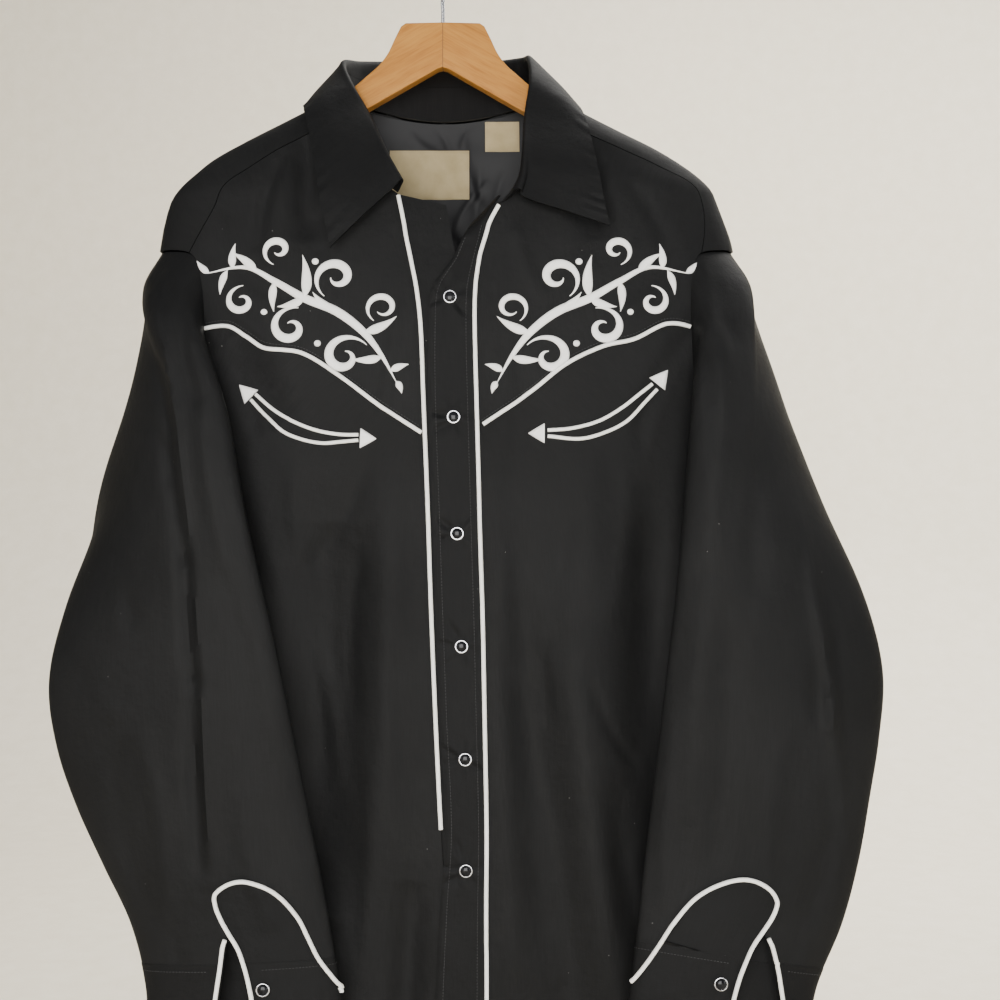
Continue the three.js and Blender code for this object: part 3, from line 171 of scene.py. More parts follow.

# %% [markdown]
# Between the large folds, worn and washed cloth has small creases. Each is a bent line with a width and a
# height that dies away at both ends. They are placed one by one, uneven in length, depth and spacing: a
# regular pattern would look like a texture and not like cloth.

# %% Small creases
# x0, z0, x1, z1, bow, width, height
FRONT_CREASES = [
    [-128, -172, -150, -262, 6, 6, -2.6], [-98, -150, -104, -232, -4, 7, 2.2],
    [-170, -262, -116, -300, 8, 7, -1.8], [-196, -330, -150, -412, -10, 8, -2.4],
    [-184, -300, -128, -352, -6, 6, 1.6], [-172, -420, -140, -540, 8, 10, -2.1],
    [-60, -430, -112, -520, -8, 7, -1.9], [-120, -430, -96, -560, 6, 8, 1.9],
    [-108, -560, -84, -700, -6, 7, 2.6], [-66, -500, -70, -640, 4, 6, -2.4],
    [-58, -660, -66, -860, -5, 7, 2.1], [-100, -780, -128, -930, 6, 10, 2.6],
    [-132, -600, -120, -760, 5, 9, -1.9], [-34, -560, -30, -700, 3, 6, -1.6],
    [-30, -300, -44, -398, 4, 6, 1.3], [66, -322, 52, -470, -5, 8, -1.6],
    [84, -575, 89, -648, 2, 2.4, -2.1], [121, -605, 158, -678, 5, 4, -2.1], [48, -500, 74, -620, 6, 8, 1.8],
    [70, -690, 96, -860, -6, 9, 2.2], [140, -690, 170, -850, 6, 10, -2.7],
    [108, -470, 96, -590, 8, 9, -1.8], [150, -430, 138, -560, -6, 10, 2.1],
    [200, -330, 160, -420, 8, 8, -2.2], [184, -290, 132, -330, 6, 7, 1.4],
    [106, -160, 118, -236, 5, 6, -1.9], [150, -196, 186, -262, -6, 7, -1.8],
    [60, -236, 84, -300, 4, 7, 1.3], [44, -820, 62, -936, 4, 7, -2.1], [176, -860, 196, -936, 4, 11, 2.4]]
BACK_CREASES = [
    [-150, -380, -120, -560, 8, 10, -2.6], [-60, -420, -84, -640, -6, 9, 2.4],
    [-20, -360, -14, -540, 3, 7, -1.9], [60, -400, 48, -620, 5, 9, -2.4],
    [130, -390, 158, -580, -8, 10, 2.6], [-170, -600, -150, -840, 6, 11, 2.7],
    [-40, -640, -30, -900, -4, 10, -2.6], [70, -660, 96, -900, 6, 10, 2.4],
    [160, -640, 176, -860, -5, 11, -2.7], [-120, -190, -60, -240, 6, 9, -1.6],
    [130, -200, 50, -250, -6, 9, -1.6], [0, -180, 10, -300, 4, 10, 1.4]]


def creases(x, z, rows):
    total = np.zeros(np.broadcast(x, z).shape)
    for x0, z0, x1, z1, bow, width, height in rows:
        dx, dz = x1 - x0, z1 - z0
        length = math.hypot(dx, dz)
        t = ((x - x0) * dx + (z - z0) * dz) / length**2
        inside = np.clip(t, 0, 1)
        off = ((x - x0) * dz - (z - z0) * dx) / length - bow * 4 * inside * (1 - inside)
        beyond = (t - inside) * length
        fade = np.sqrt(4 * inside * (1 - inside) + 0.02)
        total += height * fade * np.exp(-(off / width) ** 2 - (beyond / (2 * width)) ** 2)
    return total


def body(x, z, side, small=True):
    x, z, side = np.broadcast_arrays(np.asarray(x, float), np.asarray(z, float), np.asarray(side, float))
    power = BODY.power(z)
    u = np.minimum(1, np.abs(x - BODY.centre(z)) / BODY.half(z))
    depth = np.where(side < 0, BODY.front(z), BODY.back(z))
    stand_out = depth * (1 - u**power) ** (1 / power)
    relief = fold_height(x, z, side)
    if small:
        relief = relief + np.where(side < 0, creases(x, z, FRONT_CREASES), creases(x, z, BACK_CREASES))
    return np.stack([x, side * (stand_out + (1 - u**6) * relief), z], -1)


print("front at the chest", body(60, -400, -1).round(1).tolist())

# %% [markdown]
# Cloth pieces are grids of points on a surface. The normal comes from the steps to neighbouring points, so
# a piece that lies on another is the same surface moved out along it.

# %% Surfaces and their normals
def lifted(surface, a, b, step_a, step_b, out, lift=0.0):
    point = surface(a, b)
    normal = np.cross(surface(a + step_a, b) - surface(a - step_a, b),
                      surface(a, b + step_b) - surface(a, b - step_b))
    normal /= np.maximum(np.linalg.norm(normal, axis=-1, keepdims=True), 1e-9)
    normal = np.where((normal * out).sum(-1, keepdims=True) < 0, -normal, normal)
    return point + normal * np.asarray(lift, float)[..., None], normal


def front(x, z, lift=0.0):
    return lifted(lambda a, b: body(a, b, -1), x, z, 0.5, 0.5, np.array([0, -1.0, 0]), lift)


def back(x, z, lift=0.0):
    return lifted(lambda a, b: body(a, b, 1), x, z, 0.5, 0.5, np.array([0, 1.0, 0]), lift)


def body_round(angle, z):
    s = np.sin(angle)
    x = BODY.centre(z) + BODY.half(z) * np.sign(s) * np.abs(s) ** (2 / BODY.power(z))
    return body(x, z, np.where(np.cos(angle) >= 0, -1.0, 1.0))


def around_body(angle, z):
    out = np.stack([np.sin(angle), -np.cos(angle), 0 * angle], -1)
    return lifted(body_round, angle, z, 0.01, 0.5, out)


def angle_of(x, z, side):
    u = np.clip((x - BODY.centre(z)) / BODY.half(z), -1, 1)
    angle = np.arcsin(np.sign(u) * np.abs(u) ** (BODY.power(z) / 2))
    return angle if side < 0 else math.pi - angle


def ridge(x):
    low = np.full(np.shape(x), -262.0)
    high = np.full(np.shape(x), -60.0)
    for _ in range(40):
        z = (low + high) / 2
        outside = np.abs(x - BODY.centre(z)) > BODY.half(z)
        high = np.where(outside, z, high)
        low = np.where(outside, low, z)
    return (low + high) / 2


def over_shoulder(x, tau):
    out = np.stack([np.sign(x) * 0.5, tau / 10, 1 + 0 * x], -1)
    return lifted(lambda a, b: body(a, ridge(a) - b * b, np.where(b < 0, -1.0, 1.0)), x, tau, 0.4, 0.15,
                  out)


print("shoulder ridge at the tip", float(ridge(np.array(200.0)).round(1)))

# %% [markdown]
# ## From grids to cloth
# A grid of points becomes a surface, its seam is merged where the piece is a tube, and Solidify gives it
# the thickness of the cloth. The UV map is in metres of cloth, so a weave drawn on it keeps its scale and
# follows each piece's own grain, as when it is cut from the bolt.

# %% Cloth pieces
CLOTH, STAND_CLOTH, CUFF_CLOTH, LINING, GAP, BEAD = 1.3, 1.7, 2.0, 1.0, 0.3, 1.75
SEAM = GAP / 2
PLACKET_WIDTH = 37


def finish_mesh(name, mesh, material, node=None, crisp=0.7):
    work = bmesh.new()
    work.from_mesh(mesh)
    for edge in work.edges:
        edge.smooth = not (edge.is_manifold and edge.calc_face_angle(0) > crisp)
    for face in work.faces:
        face.smooth = True
    work.to_mesh(mesh)
    work.free()
    mesh.materials.clear()
    mesh.materials.append(material)
    piece = bpy.data.objects.new(name, mesh)
    scene.collection.objects.link(piece)
    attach(piece, "root")
    if node:
        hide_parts(*([node] if isinstance(node, str) else node))
    return piece


def grid_lengths(points):
    across = np.linalg.norm(np.diff(points, axis=1), axis=2)
    down = np.linalg.norm(np.diff(points, axis=0), axis=2)
    u = np.concatenate([[0], np.cumsum(across.mean(axis=0))])
    v = np.concatenate([[0], np.cumsum(down.mean(axis=1))])
    return u / 1000, v / 1000, across.sum(axis=1).max() / 1000, down.sum(axis=0).max() / 1000


def surface_mesh(name, points, normals, merge=False):
    rows, cols = points.shape[:2]
    u, v, _, _ = grid_lengths(points)
    a, b = points[1:, 1:] - points[:-1, :-1], points[1:, :-1] - points[:-1, 1:]
    turn = (np.cross(a, b) * normals[:-1, :-1]).sum() > 0
    faces = []
    for r in range(rows - 1):
        for c in range(cols - 1):
            quad = [r * cols + c, r * cols + c + 1, (r + 1) * cols + c + 1, (r + 1) * cols + c]
            faces.append(quad if turn else quad[::-1])
    mesh = bpy.data.meshes.new(name)
    mesh.from_pydata((points.reshape(-1, 3) / 1000).tolist(), [], faces)
    layer = mesh.uv_layers.new(name="cloth")
    corner = np.array([loop.vertex_index for loop in mesh.loops])
    layer.data.foreach_set("uv", np.stack([u[corner % cols], v[corner // cols]], -1).ravel())
    if merge:
        work = bmesh.new()
        work.from_mesh(mesh)
        bmesh.ops.remove_doubles(work, verts=work.verts, dist=2e-6)
        work.to_mesh(mesh)
        work.free()
    return mesh


def applied(mesh, *modifiers):
    """The mesh with modifiers, each a type with its settings, made plain."""
    holder = bpy.data.objects.new("holder", mesh)
    scene.collection.objects.link(holder)
    for kind, settings in modifiers:
        modifier = holder.modifiers.new(kind.lower(), kind)
        for key, value in settings.items():
            setattr(modifier, key, value)
    evaluated = holder.evaluated_get(bpy.context.evaluated_depsgraph_get())
    plain = bpy.data.meshes.new_from_object(evaluated)
    bpy.data.objects.remove(holder)
    return plain


LEAST_SHARE, LEAST_SIZE = 0.31, 0.01


def cloth(name, grid, thickness, material, node, merge=False):
    """One cut piece as a shell with its flat size. A tapered piece states a narrower rectangle."""
    points, normals = grid
    _, _, width, length = grid_lengths(points)
    mesh = surface_mesh(name, points, normals, merge)
    area = sum(face.area for face in mesh.polygons)
    shell = applied(mesh,
                    ("SOLIDIFY", {"thickness": thickness / 1000, "offset": -1, "use_even_offset": False}))
    piece = finish_mesh(name, shell, material, node)
    share = area / (width * length)
    if share < LEAST_SHARE:
        width *= share / LEAST_SHARE
    print(name, len(shell.polygons), "faces", f"{width * 1000:.0f} x {length * 1000:.0f} mm")
    return piece


# %% [markdown]
# ## Materials
# The cloth is a dark twill of cotton and polyester: near black, with a faint sheen on every fold and a few
# pale specks of lint. An effect used by several materials, such as the twill's ribs, is one node group.

# %% Node helpers
def group(name, inputs, outputs):
    tree = bpy.data.node_groups.new(name, "ShaderNodeTree")
    for label, kind, value in inputs:
        socket = tree.interface.new_socket(label, in_out="INPUT", socket_type=kind)
        if value is not None:
            socket.default_value = value
    for label, kind in outputs:
        tree.interface.new_socket(label, in_out="OUTPUT", socket_type=kind)
    return tree, tree.nodes.new("NodeGroupInput"), tree.nodes.new("NodeGroupOutput")


def maths(tree, operation, a, b=None, c=None):
    node = tree.nodes.new("ShaderNodeMath")
    node.operation = operation
    for socket, value in zip(node.inputs, (a, b, c)):
        if isinstance(value, bpy.types.NodeSocket):
            tree.links.new(value, socket)
        elif value is not None:
            socket.default_value = value
    return node.outputs[0]


def make_twill_group():
    tree, inputs, outputs = group("twill ribs",
                                  [("Vector", "NodeSocketVector", None),
                                   ("Pitch", "NodeSocketFloat", 0.0007), ("Slope", "NodeSocketFloat", 1.0)],
                                  [("Height", "NodeSocketFloat")])
    split = tree.nodes.new("ShaderNodeSeparateXYZ")
    tree.links.new(inputs.outputs["Vector"], split.inputs[0])
    lean = maths(tree, "MULTIPLY", split.outputs[1], inputs.outputs["Slope"])
    turns = maths(tree, "DIVIDE", maths(tree, "ADD", split.outputs[0], lean), inputs.outputs["Pitch"])
    rib = maths(tree, "SINE", maths(tree, "MULTIPLY", turns, 2 * math.pi))
    cross = maths(tree, "DIVIDE", maths(tree, "SUBTRACT", split.outputs[1], split.outputs[0]),
                  inputs.outputs["Pitch"])
    yarn = maths(tree, "SINE", maths(tree, "MULTIPLY", cross, 4 * math.pi))
    both = maths(tree, "MULTIPLY_ADD", yarn, 0.35, rib)
    tree.links.new(maths(tree, "MULTIPLY_ADD", both, 0.37, 0.5), outputs.inputs["Height"])
    return tree


def make_lint_group():
    tree, inputs, outputs = group("lint",
                                  [("Vector", "NodeSocketVector", None), ("Scale", "NodeSocketFloat", 90.0),
                                   ("Size", "NodeSocketFloat", 0.04)], [("Mask", "NodeSocketFloat")])
    cells = tree.nodes.new("ShaderNodeTexVoronoi")
    tree.links.new(inputs.outputs["Vector"], cells.inputs["Vector"])
    tree.links.new(inputs.outputs["Scale"], cells.inputs["Scale"])
    pick = tree.nodes.new("ShaderNodeSeparateColor")
    tree.links.new(cells.outputs["Color"], pick.inputs[0])
    chosen = maths(tree, "GREATER_THAN", pick.outputs[0], 0.86)
    near = maths(tree, "LESS_THAN", cells.outputs["Distance"], inputs.outputs["Size"])
    tree.links.new(maths(tree, "MULTIPLY", chosen, near), outputs.inputs["Mask"])
    return tree


def make_thread_group():
    tree, inputs, outputs = group("satin threads",
                                  [("Vector", "NodeSocketVector", None),
                                   ("Pitch", "NodeSocketFloat", 0.0006), ("Lean", "NodeSocketFloat", 0.35)],
                                  [("Height", "NodeSocketFloat")])
    split = tree.nodes.new("ShaderNodeSeparateXYZ")
    tree.links.new(inputs.outputs["Vector"], split.inputs[0])
    lean = maths(tree, "MULTIPLY_ADD", split.outputs[0], inputs.outputs["Lean"], split.outputs[1])
    rough = tree.nodes.new("ShaderNodeTexNoise")
    tree.links.new(inputs.outputs["Vector"], rough.inputs["Vector"])
    rough.inputs["Scale"].default_value = 260
    wobble = maths(tree, "MULTIPLY_ADD", rough.outputs[0], 0.0006, lean)
    wave = maths(tree, "SINE",
                 maths(tree, "MULTIPLY", maths(tree, "DIVIDE", wobble, inputs.outputs["Pitch"]),
                       2 * math.pi))
    tree.links.new(maths(tree, "MULTIPLY_ADD", wave, 0.5, 0.5), outputs.inputs["Height"])
    return tree


TWILL, LINT, THREADS = make_twill_group(), make_lint_group(), make_thread_group()


SHEEN_ROUGHNESS = 0.4


def material(name, roughness, colour=(0.5, 0.5, 0.5), metallic=0.0, sheen=0.0, coat=0.0, specular=0.5):
    made = bpy.data.materials.new(name)
    made.use_nodes = True
    shader = made.node_tree.nodes["Principled BSDF"]
    shader.inputs["Roughness"].default_value = roughness
    shader.inputs["Base Color"].default_value = (*colour, 1)
    shader.inputs["Metallic"].default_value = metallic
    shader.inputs["Sheen Weight"].default_value = sheen
    shader.inputs["Sheen Roughness"].default_value = SHEEN_ROUGHNESS
    shader.inputs["Coat Weight"].default_value = coat
    shader.inputs["Specular IOR Level"].default_value = specular
    return made, made.node_tree, shader


def use_group(tree, which, vector, **values):
    node = tree.nodes.new("ShaderNodeGroup")
    node.node_tree = which
    tree.links.new(vector, node.inputs["Vector"])
    for key, value in values.items():
        node.inputs[key].default_value = value
    return node.outputs[0]


def noise(tree, vector, scale, detail=3.0, roughness=0.5):
    node = tree.nodes.new("ShaderNodeTexNoise")
    tree.links.new(vector, node.inputs["Vector"])
    node.inputs["Scale"].default_value = scale
    node.inputs["Detail"].default_value = detail
    node.inputs["Roughness"].default_value = roughness
    return node.outputs[0]


def ramp(tree, factor, *stops):
    node = tree.nodes.new("ShaderNodeValToRGB")
    tree.links.new(factor, node.inputs[0])
    elements = node.color_ramp.elements
    while len(elements) < len(stops):
        elements.new(0.5)
    for element, (position, colour) in zip(elements, stops):
        element.position = position
        element.color = (*colour, 1)
    return node.outputs[0]


def mix(tree, factor, a, b, blend="MIX"):
    node = tree.nodes.new("ShaderNodeMix")
    node.data_type = "RGBA"
    node.blend_type = blend
    for socket, value in ((node.inputs[0], factor), (node.inputs[6], a), (node.inputs[7], b)):
        if isinstance(value, bpy.types.NodeSocket):
            tree.links.new(value, socket)
        elif isinstance(value, tuple):
            socket.default_value = (*value, 1)
        else:
            socket.default_value = value
    return node.outputs[2]


def bump(tree, shader, height, strength, distance, before=None):
    node = tree.nodes.new("ShaderNodeBump")
    node.inputs["Strength"].default_value = strength
    node.inputs["Distance"].default_value = distance
    tree.links.new(height, node.inputs["Height"])
    if before is not None:
        tree.links.new(before, node.inputs["Normal"])
    tree.links.new(node.outputs[0], shader.inputs["Normal"])
    return node.outputs[0]


def coordinates(tree, kind="Object"):
    return tree.nodes.new("ShaderNodeTexCoord").outputs[kind]


print("node groups", [tree.name for tree in (TWILL, LINT, THREADS)])

# %% Finishes
def make_twill(name, dark, light, roughness):
    made, tree, shader = material(name, roughness, specular=0.09)
    place, weave = coordinates(tree), coordinates(tree, "UV")
    cloud = ramp(tree, noise(tree, place, 9, 4), (0.3, dark), (0.72, light))
    ribs = use_group(tree, TWILL, weave, Pitch=0.0008)
    ribbed = mix(tree, 0.22, cloud,
                 ramp(tree, ribs, (0.2, tuple(0.5 * v for v in dark)),
                      (0.85, tuple(1.5 * v for v in light))))
    stretched = tree.nodes.new("ShaderNodeMapping")
    stretched.inputs["Scale"].default_value = (900, 45, 1)
    tree.links.new(weave, stretched.inputs["Vector"])
    slubs = ramp(tree, noise(tree, stretched.outputs[0], 1.0, 3, 0.6), (0.3, (0.72, 0.72, 0.72)),
                 (0.7, (1.22, 1.22, 1.22)))
    worn = mix(tree, 0.8, ribbed, slubs, "MULTIPLY")
    specks = use_group(tree, LINT, place, Scale=95.0, Size=0.028)
    tree.links.new(mix(tree, specks, worn, (0.3, 0.29, 0.27)), shader.inputs["Base Color"])
    soft = bump(tree, shader, noise(tree, place, 42, 5, 0.6), 0.3, 0.004)
    bump(tree, shader, ribs, 0.35, 0.0002, soft)
    return made


def make_corded(name, colour, pitch, lean=0.35, sheen=0.1):
    made, tree, shader = material(name, 0.55, sheen=sheen)
    run = coordinates(tree, "UV")
    threads = use_group(tree, THREADS, run, Pitch=pitch, Lean=lean)
    shade = ramp(tree, threads, (0.0, tuple(0.8 * v for v in colour)), (0.5, colour))
    soiled = ramp(tree, noise(tree, coordinates(tree), 60, 4), (0.3, (0.93, 0.925, 0.91)), (0.6, (1, 1, 1)))
    tree.links.new(mix(tree, 1.0, shade, soiled, "MULTIPLY"), shader.inputs["Base Color"])
    bump(tree, shader, threads, 0.5, 0.00025)
    return made


def make_satin():
    made, tree, shader = material("satin lining", 0.4, specular=0.09)
    place = coordinates(tree)
    tree.links.new(ramp(tree, noise(tree, place, 14, 3), (0.3, (0.0035, 0.0035, 0.004)),
                        (0.75, (0.009, 0.009, 0.010))), shader.inputs["Base Color"])
    bump(tree, shader, use_group(tree, TWILL, coordinates(tree, "UV"), Pitch=0.0006), 0.1, 0.0001)
    return made


def make_label():
    made, tree, shader = material("woven label", 0.85, specular=0.1)
    weave = coordinates(tree, "UV")
    ribs = use_group(tree, TWILL, weave, Pitch=0.0009, Slope=0.0)
    worn = ramp(tree, noise(tree, coordinates(tree), 70, 4), (0.3, (0.27, 0.215, 0.115)),
                (0.7, (0.37, 0.30, 0.175)))
    tree.links.new(mix(tree, 0.25, worn,
                       ramp(tree, ribs, (0.2, (0.22, 0.17, 0.09)), (0.8, (0.43, 0.36, 0.22)))),
                   shader.inputs["Base Color"])
    bump(tree, shader, ribs, 0.4, 0.0002)
    return made


ARM_SLOPE = 28.5  # how steeply the hanger's arms fall, in degrees, because the grain runs along each arm


def make_wood():
    made, tree, shader = material("beech", 0.5, specular=0.16)
    split = tree.nodes.new("ShaderNodeSeparateXYZ")
    tree.links.new(coordinates(tree), split.inputs[0])
    side = maths(tree, "ABSOLUTE", split.outputs[0])
    slope = math.radians(ARM_SLOPE)
    along = maths(tree, "SUBTRACT", maths(tree, "MULTIPLY", side, math.cos(slope)),
                  maths(tree, "MULTIPLY", split.outputs[2], math.sin(slope)))
    over = maths(tree, "ADD", maths(tree, "MULTIPLY", side, math.sin(slope)),
                 maths(tree, "MULTIPLY", split.outputs[2], math.cos(slope)))
    arm = tree.nodes.new("ShaderNodeCombineXYZ")
    which = maths(tree, "MULTIPLY_ADD", maths(tree, "SIGN", split.outputs[0]), 0.31, along)
    for socket, value in zip(arm.inputs,
                             (maths(tree, "MULTIPLY", which, 6.0),
                              maths(tree, "MULTIPLY", split.outputs[1], 60.0),
                              maths(tree, "MULTIPLY", over, 90.0))):
        tree.links.new(value, socket)
    grain = noise(tree, arm.outputs[0], 1.6, 6, 0.6)
    flecks = noise(tree, arm.outputs[0], 9.0, 2, 0.5)
    tone = ramp(tree, grain, (0.3, (0.27, 0.108, 0.017)), (0.5, (0.345, 0.147, 0.025)),
                (0.7, (0.40, 0.184, 0.037)))
    fine = mix(tree, 0.35, tone,
               ramp(tree, flecks, (0.36, (0.23, 0.087, 0.014)), (0.55, (0.37, 0.166, 0.030))))
    joint = maths(tree, "LESS_THAN", side, 0.00028)
    tree.links.new(mix(tree, joint, fine, (0.12, 0.06, 0.025)), shader.inputs["Base Color"])
    bump(tree, shader, grain, 0.12, 0.0006)
    return made


def make_wire():
    made, tree, shader = material("polished wire", 0.22, (0.62, 0.62, 0.64), metallic=1.0)
    worn = noise(tree, coordinates(tree), 300, 3)
    tree.links.new(ramp(tree, worn, (0.3, (0.16, 0.16, 0.16)), (0.75, (0.3, 0.3, 0.3))),
                   shader.inputs["Roughness"])
    return made


def make_pearl():
    made, tree, shader = material("black pearl", 0.14, coat=0.05, specular=0.16)
    swirl = noise(tree, coordinates(tree), 220, 4, 0.6)
    tree.links.new(ramp(tree, swirl, (0.35, (0.002, 0.002, 0.003)), (0.62, (0.010, 0.0105, 0.012)),
                        (0.8, (0.03, 0.03, 0.033))), shader.inputs["Base Color"])
    return made


def make_plaster():
    made, tree, shader = material("pale stage", 0.9)
    rough = noise(tree, coordinates(tree), 26, 5, 0.6)
    tree.links.new(ramp(tree, rough, (0.3, (0.84, 0.768, 0.625)), (0.7, (0.89, 0.822, 0.685))),
                   shader.inputs["Base Color"])
    bump(tree, shader, rough, 0.25, 0.004)
    return made


DARK = make_twill("dark twill", (0.0053, 0.0054, 0.0055), (0.0084, 0.0085, 0.0087), 0.55)
# the collar's leaf, the placket strips, the cuffs and their arches are the shirt's own twill, painted
# darker than the body's as painted shade
STIFF_TWILL_PAINTED_SHADE = make_twill("stiffened twill", (0.0041, 0.0042, 0.0043), (0.0063, 0.0064, 0.0066), 0.55)
# the inside of the collar stand is the shirt's own twill, painted darker as painted shade for the inside of
# the neck
INNER_STAND_PAINTED_SHADE = make_twill("inner stand twill", (0.0044, 0.0045, 0.0047), (0.0068, 0.0069, 0.0071), 0.6)
PIPING = make_corded("piping cord", (0.95, 0.94, 0.89), 0.0011, 0.9)
STITCHED = make_corded("satin stitch", (0.95, 0.94, 0.91), 0.00055, 0.25, 0.3)
THREAD = make_corded("dark thread", (0.03, 0.03, 0.031), 0.0004)
SATIN, LABEL, WOOD, WIRE_FINISH, PEARL, PLASTER = (make_satin(), make_label(), make_wood(), make_wire(),
                                                   make_pearl(), make_plaster())
print("finishes", [m.name for m in bpy.data.materials][:12])

# %% [markdown]
# ## The fronts
# Each front is a yoke over a panel, joined by a curved western seam. The seam lines are given as they look
# from the front, in x and z, and the grid is stretched between them, which is how a Coons patch fills four
# edges.

# %% Seam lines
FORWARD_SEAM = {
    "right": [[-208, -258], [-197, -238], [-187, -220], [-180, -203], [-158, -187], [-135, -172],
              [-111, -159], [-88, -146]],
    "left": [[214, -258], [217, -238], [216, -218], [210, -202], [181, -186], [150, -172], [119, -158],
             [90, -145]]}
FRONT_NECK = {"right": [[-88, -146], [-78, -163], [-62, -186], [-47, -203], [-35, -212]],
              "left": [[90, -145], [84, -165], [76, -190], [64, -208], [49, -220]]}
BACK_NECK = [[-88, -146, -1], [-84, -118, 1], [-70, -124, 1], [-45, -132, 1], [0, -137, 1], [45, -132, 1],
             [70, -124, 1], [84, -118, 1], [90, -145, -1]]
YOKE_SEAM = {
    "right": Table(["x", "z"],
                   [[-198, -322], [-174, -320], [-159, -328], [-143, -338], [-112, -343], [-81, -362],
                    [-50, -385], [-13, -409]]),
    "left": Table(["x", "z"],
                  [[28, -405], [72, -375], [101, -352], [132, -337], [157, -331], [181, -319], [194, -318],
                   [214, -323]])}
OPENING = Table(["z", "under", "free", "lap", "turn"], [
    [-212, -35, 46, 51, 14], [-236, -30, 25, 38, 7], [-248, -28, 18, 35, 0], [-267, -24, 9, 31, 0],
    [-290, -19.5, -7, 28, 0], [-320, -16, -10, 27.5, 0], [-381, -13.5, -10, 29, 0],
    [-470, -10, -6.8, 31.5, 0], [-546, -7.5, -4.2, 34, 0], [-640, -3.7, -0.5, 36, 0],
    [-729, 0.6, 3.8, 37.5, 0], [-793, 4.5, -0.5, 37, 0], [-866, 8, -4.5, 37, 0], [-940, 10, -7, 37, 0]])
ARMHOLE = Table(["share", "front", "back"],
                [[0, 0, 0], [0.08, 30, 12], [0.2, 40, 21], [0.35, 42, 27], [0.5, 39, 28], [0.65, 30, 23],
                 [0.8, 16, 13], [0.92, 5, 4], [1, 0, 0]])
ARM_TOP = -254
HEM_MIDDLE, HEM_HALF = 20, 262


def armhole_share(z):
    drop = np.clip((ARM_TOP - z) / (ARM_TOP - UNDERARM), 0, 1)
    return np.arccos(1 - 2 * drop) / math.pi


def armhole_x(sign, z, side):
    share = armhole_share(z)
    inset = np.where(np.asarray(side) < 0, ARMHOLE.front(share), ARMHOLE.back(share))
    return BODY.centre(z) + sign * (BODY.half(z) - inset)


def hem(x):
    u = np.minimum(1, np.abs(x - HEM_MIDDLE) / HEM_HALF)
    return HEM_CENTRE + (HEM_SIDE - HEM_CENTRE) * (1 - np.cos(math.pi * u)) / 2


def inner_edge(sign, z):
    return OPENING.under(z) - GAP if sign < 0 else OPENING.lap(z) - BEAD + SEAM


def yoke_seam(name, u):
    sign, seam = SIDES[name], YOKE_SEAM[name]
    z, inner_z = np.float64(-322), np.float64(-405)
    for _ in range(8):
        z = seam.z(armhole_x(sign, z, -1))
        inner_z = seam.z(inner_edge(sign, inner_z))
    x = armhole_x(sign, z, -1) + (inner_edge(sign, inner_z) - armhole_x(sign, z, -1)) * np.asarray(u, float)
    return np.stack([x, seam.z(x)], -1)


print("yoke seam ends", yoke_seam("right", np.array([0, 1])).round(1).tolist())

# %% Front yokes and front panels
def front_yoke(name, across=96, down=56):
    sign = SIDES[name]
    seam, neck = path(FORWARD_SEAM[name]), path(FRONT_NECK[name])
    u, v = np.linspace(0, 1, across + 1), np.linspace(0, 1, down + 1)
    top = np.where(u[:, None] <= 0.5, seam(np.minimum(1, u * 2)), neck(np.maximum(0, u * 2 - 1)))
    bottom = yoke_seam(name, u)
    start_z = top[0, 1] + (bottom[0, 1] - top[0, 1]) * v
    end_z = top[-1, 1] + (bottom[-1, 1] - top[-1, 1]) * v
    start = np.stack([armhole_x(sign, start_z, -1), start_z], -1)
    end = np.stack([inner_edge(sign, end_z), end_z], -1)
    start[0], end[0] = top[0], top[-1]
    uu, vv = u[None, :, None], v[:, None, None]
    pair = (top[None] * (1 - vv) + bottom[None] * vv + start[:, None] * (1 - uu) + end[:, None] * uu
            - ((top[0] * (1 - uu) + top[-1] * uu) * (1 - vv)
               + (bottom[0] * (1 - uu) + bottom[-1] * uu) * vv))
    return front(pair[..., 0], pair[..., 1] - SEAM + 2 * SEAM * (vv[..., 0] == 1))


def gentle_armhole(sign, z, side):
    """The armhole's edge, which leaves the side seam gently just above the underarm."""
    rise = np.clip((z - UNDERARM) / 16, 0, 1)
    straight = BODY.centre(z) + sign * BODY.half(z)
    return straight + (armhole_x(sign, z, side) - straight) * rise * rise * (3 - 2 * rise)


def panel_grid(heights_at, shape_at, top, across, down):
    """Rows down a body panel by its angle round the body: z from heights_at(x, share), and the angle from
    shape_at(z, u). top is the seam that the first row follows, x and z."""
    u = np.linspace(0, 1, across + 1)[None, :] * np.ones((down + 1, 1))
    v = np.linspace(0, 1, down + 1)[:, None] * np.ones((1, across + 1))
    x = top[None, :, 0] + 0 * u
    shift = top[:, 2] - shape_at(top[:, 1], u[0])
    leave = np.maximum(0, 1 - v / 0.14) ** 2
    for _ in range(8):
        z = heights_at(x, v)
        angle = shape_at(z, u) + shift[None, :] * leave
        s = np.sin(angle)
        x = BODY.centre(z) + BODY.half(z) * np.sign(s) * np.abs(s) ** (2 / BODY.power(z))
    return around_body(angle, z)


def front_panel(name, across=96, down=170):
    sign = SIDES[name]
    seam = yoke_seam(name, np.linspace(0, 1, across + 1))

    def heights(x, v):
        return (seam[None, :, 1] - SEAM) * (1 - v) + hem(x) * v

    def shape(z, u):
        flank = sign * math.pi / 2
        away = np.where(z > UNDERARM, angle_of(gentle_armhole(sign, z, -1), z, -1), flank) - flank
        return flank + (angle_of(inner_edge(sign, z), z, -1) - flank) * u + away * (1 - u) ** 1.8

    top = np.column_stack([seam, angle_of(seam[:, 0], seam[:, 1], -1)])
    points, normals = panel_grid(heights, shape, top, across, down)
    return points - np.array([0, SEAM, 0]), normals


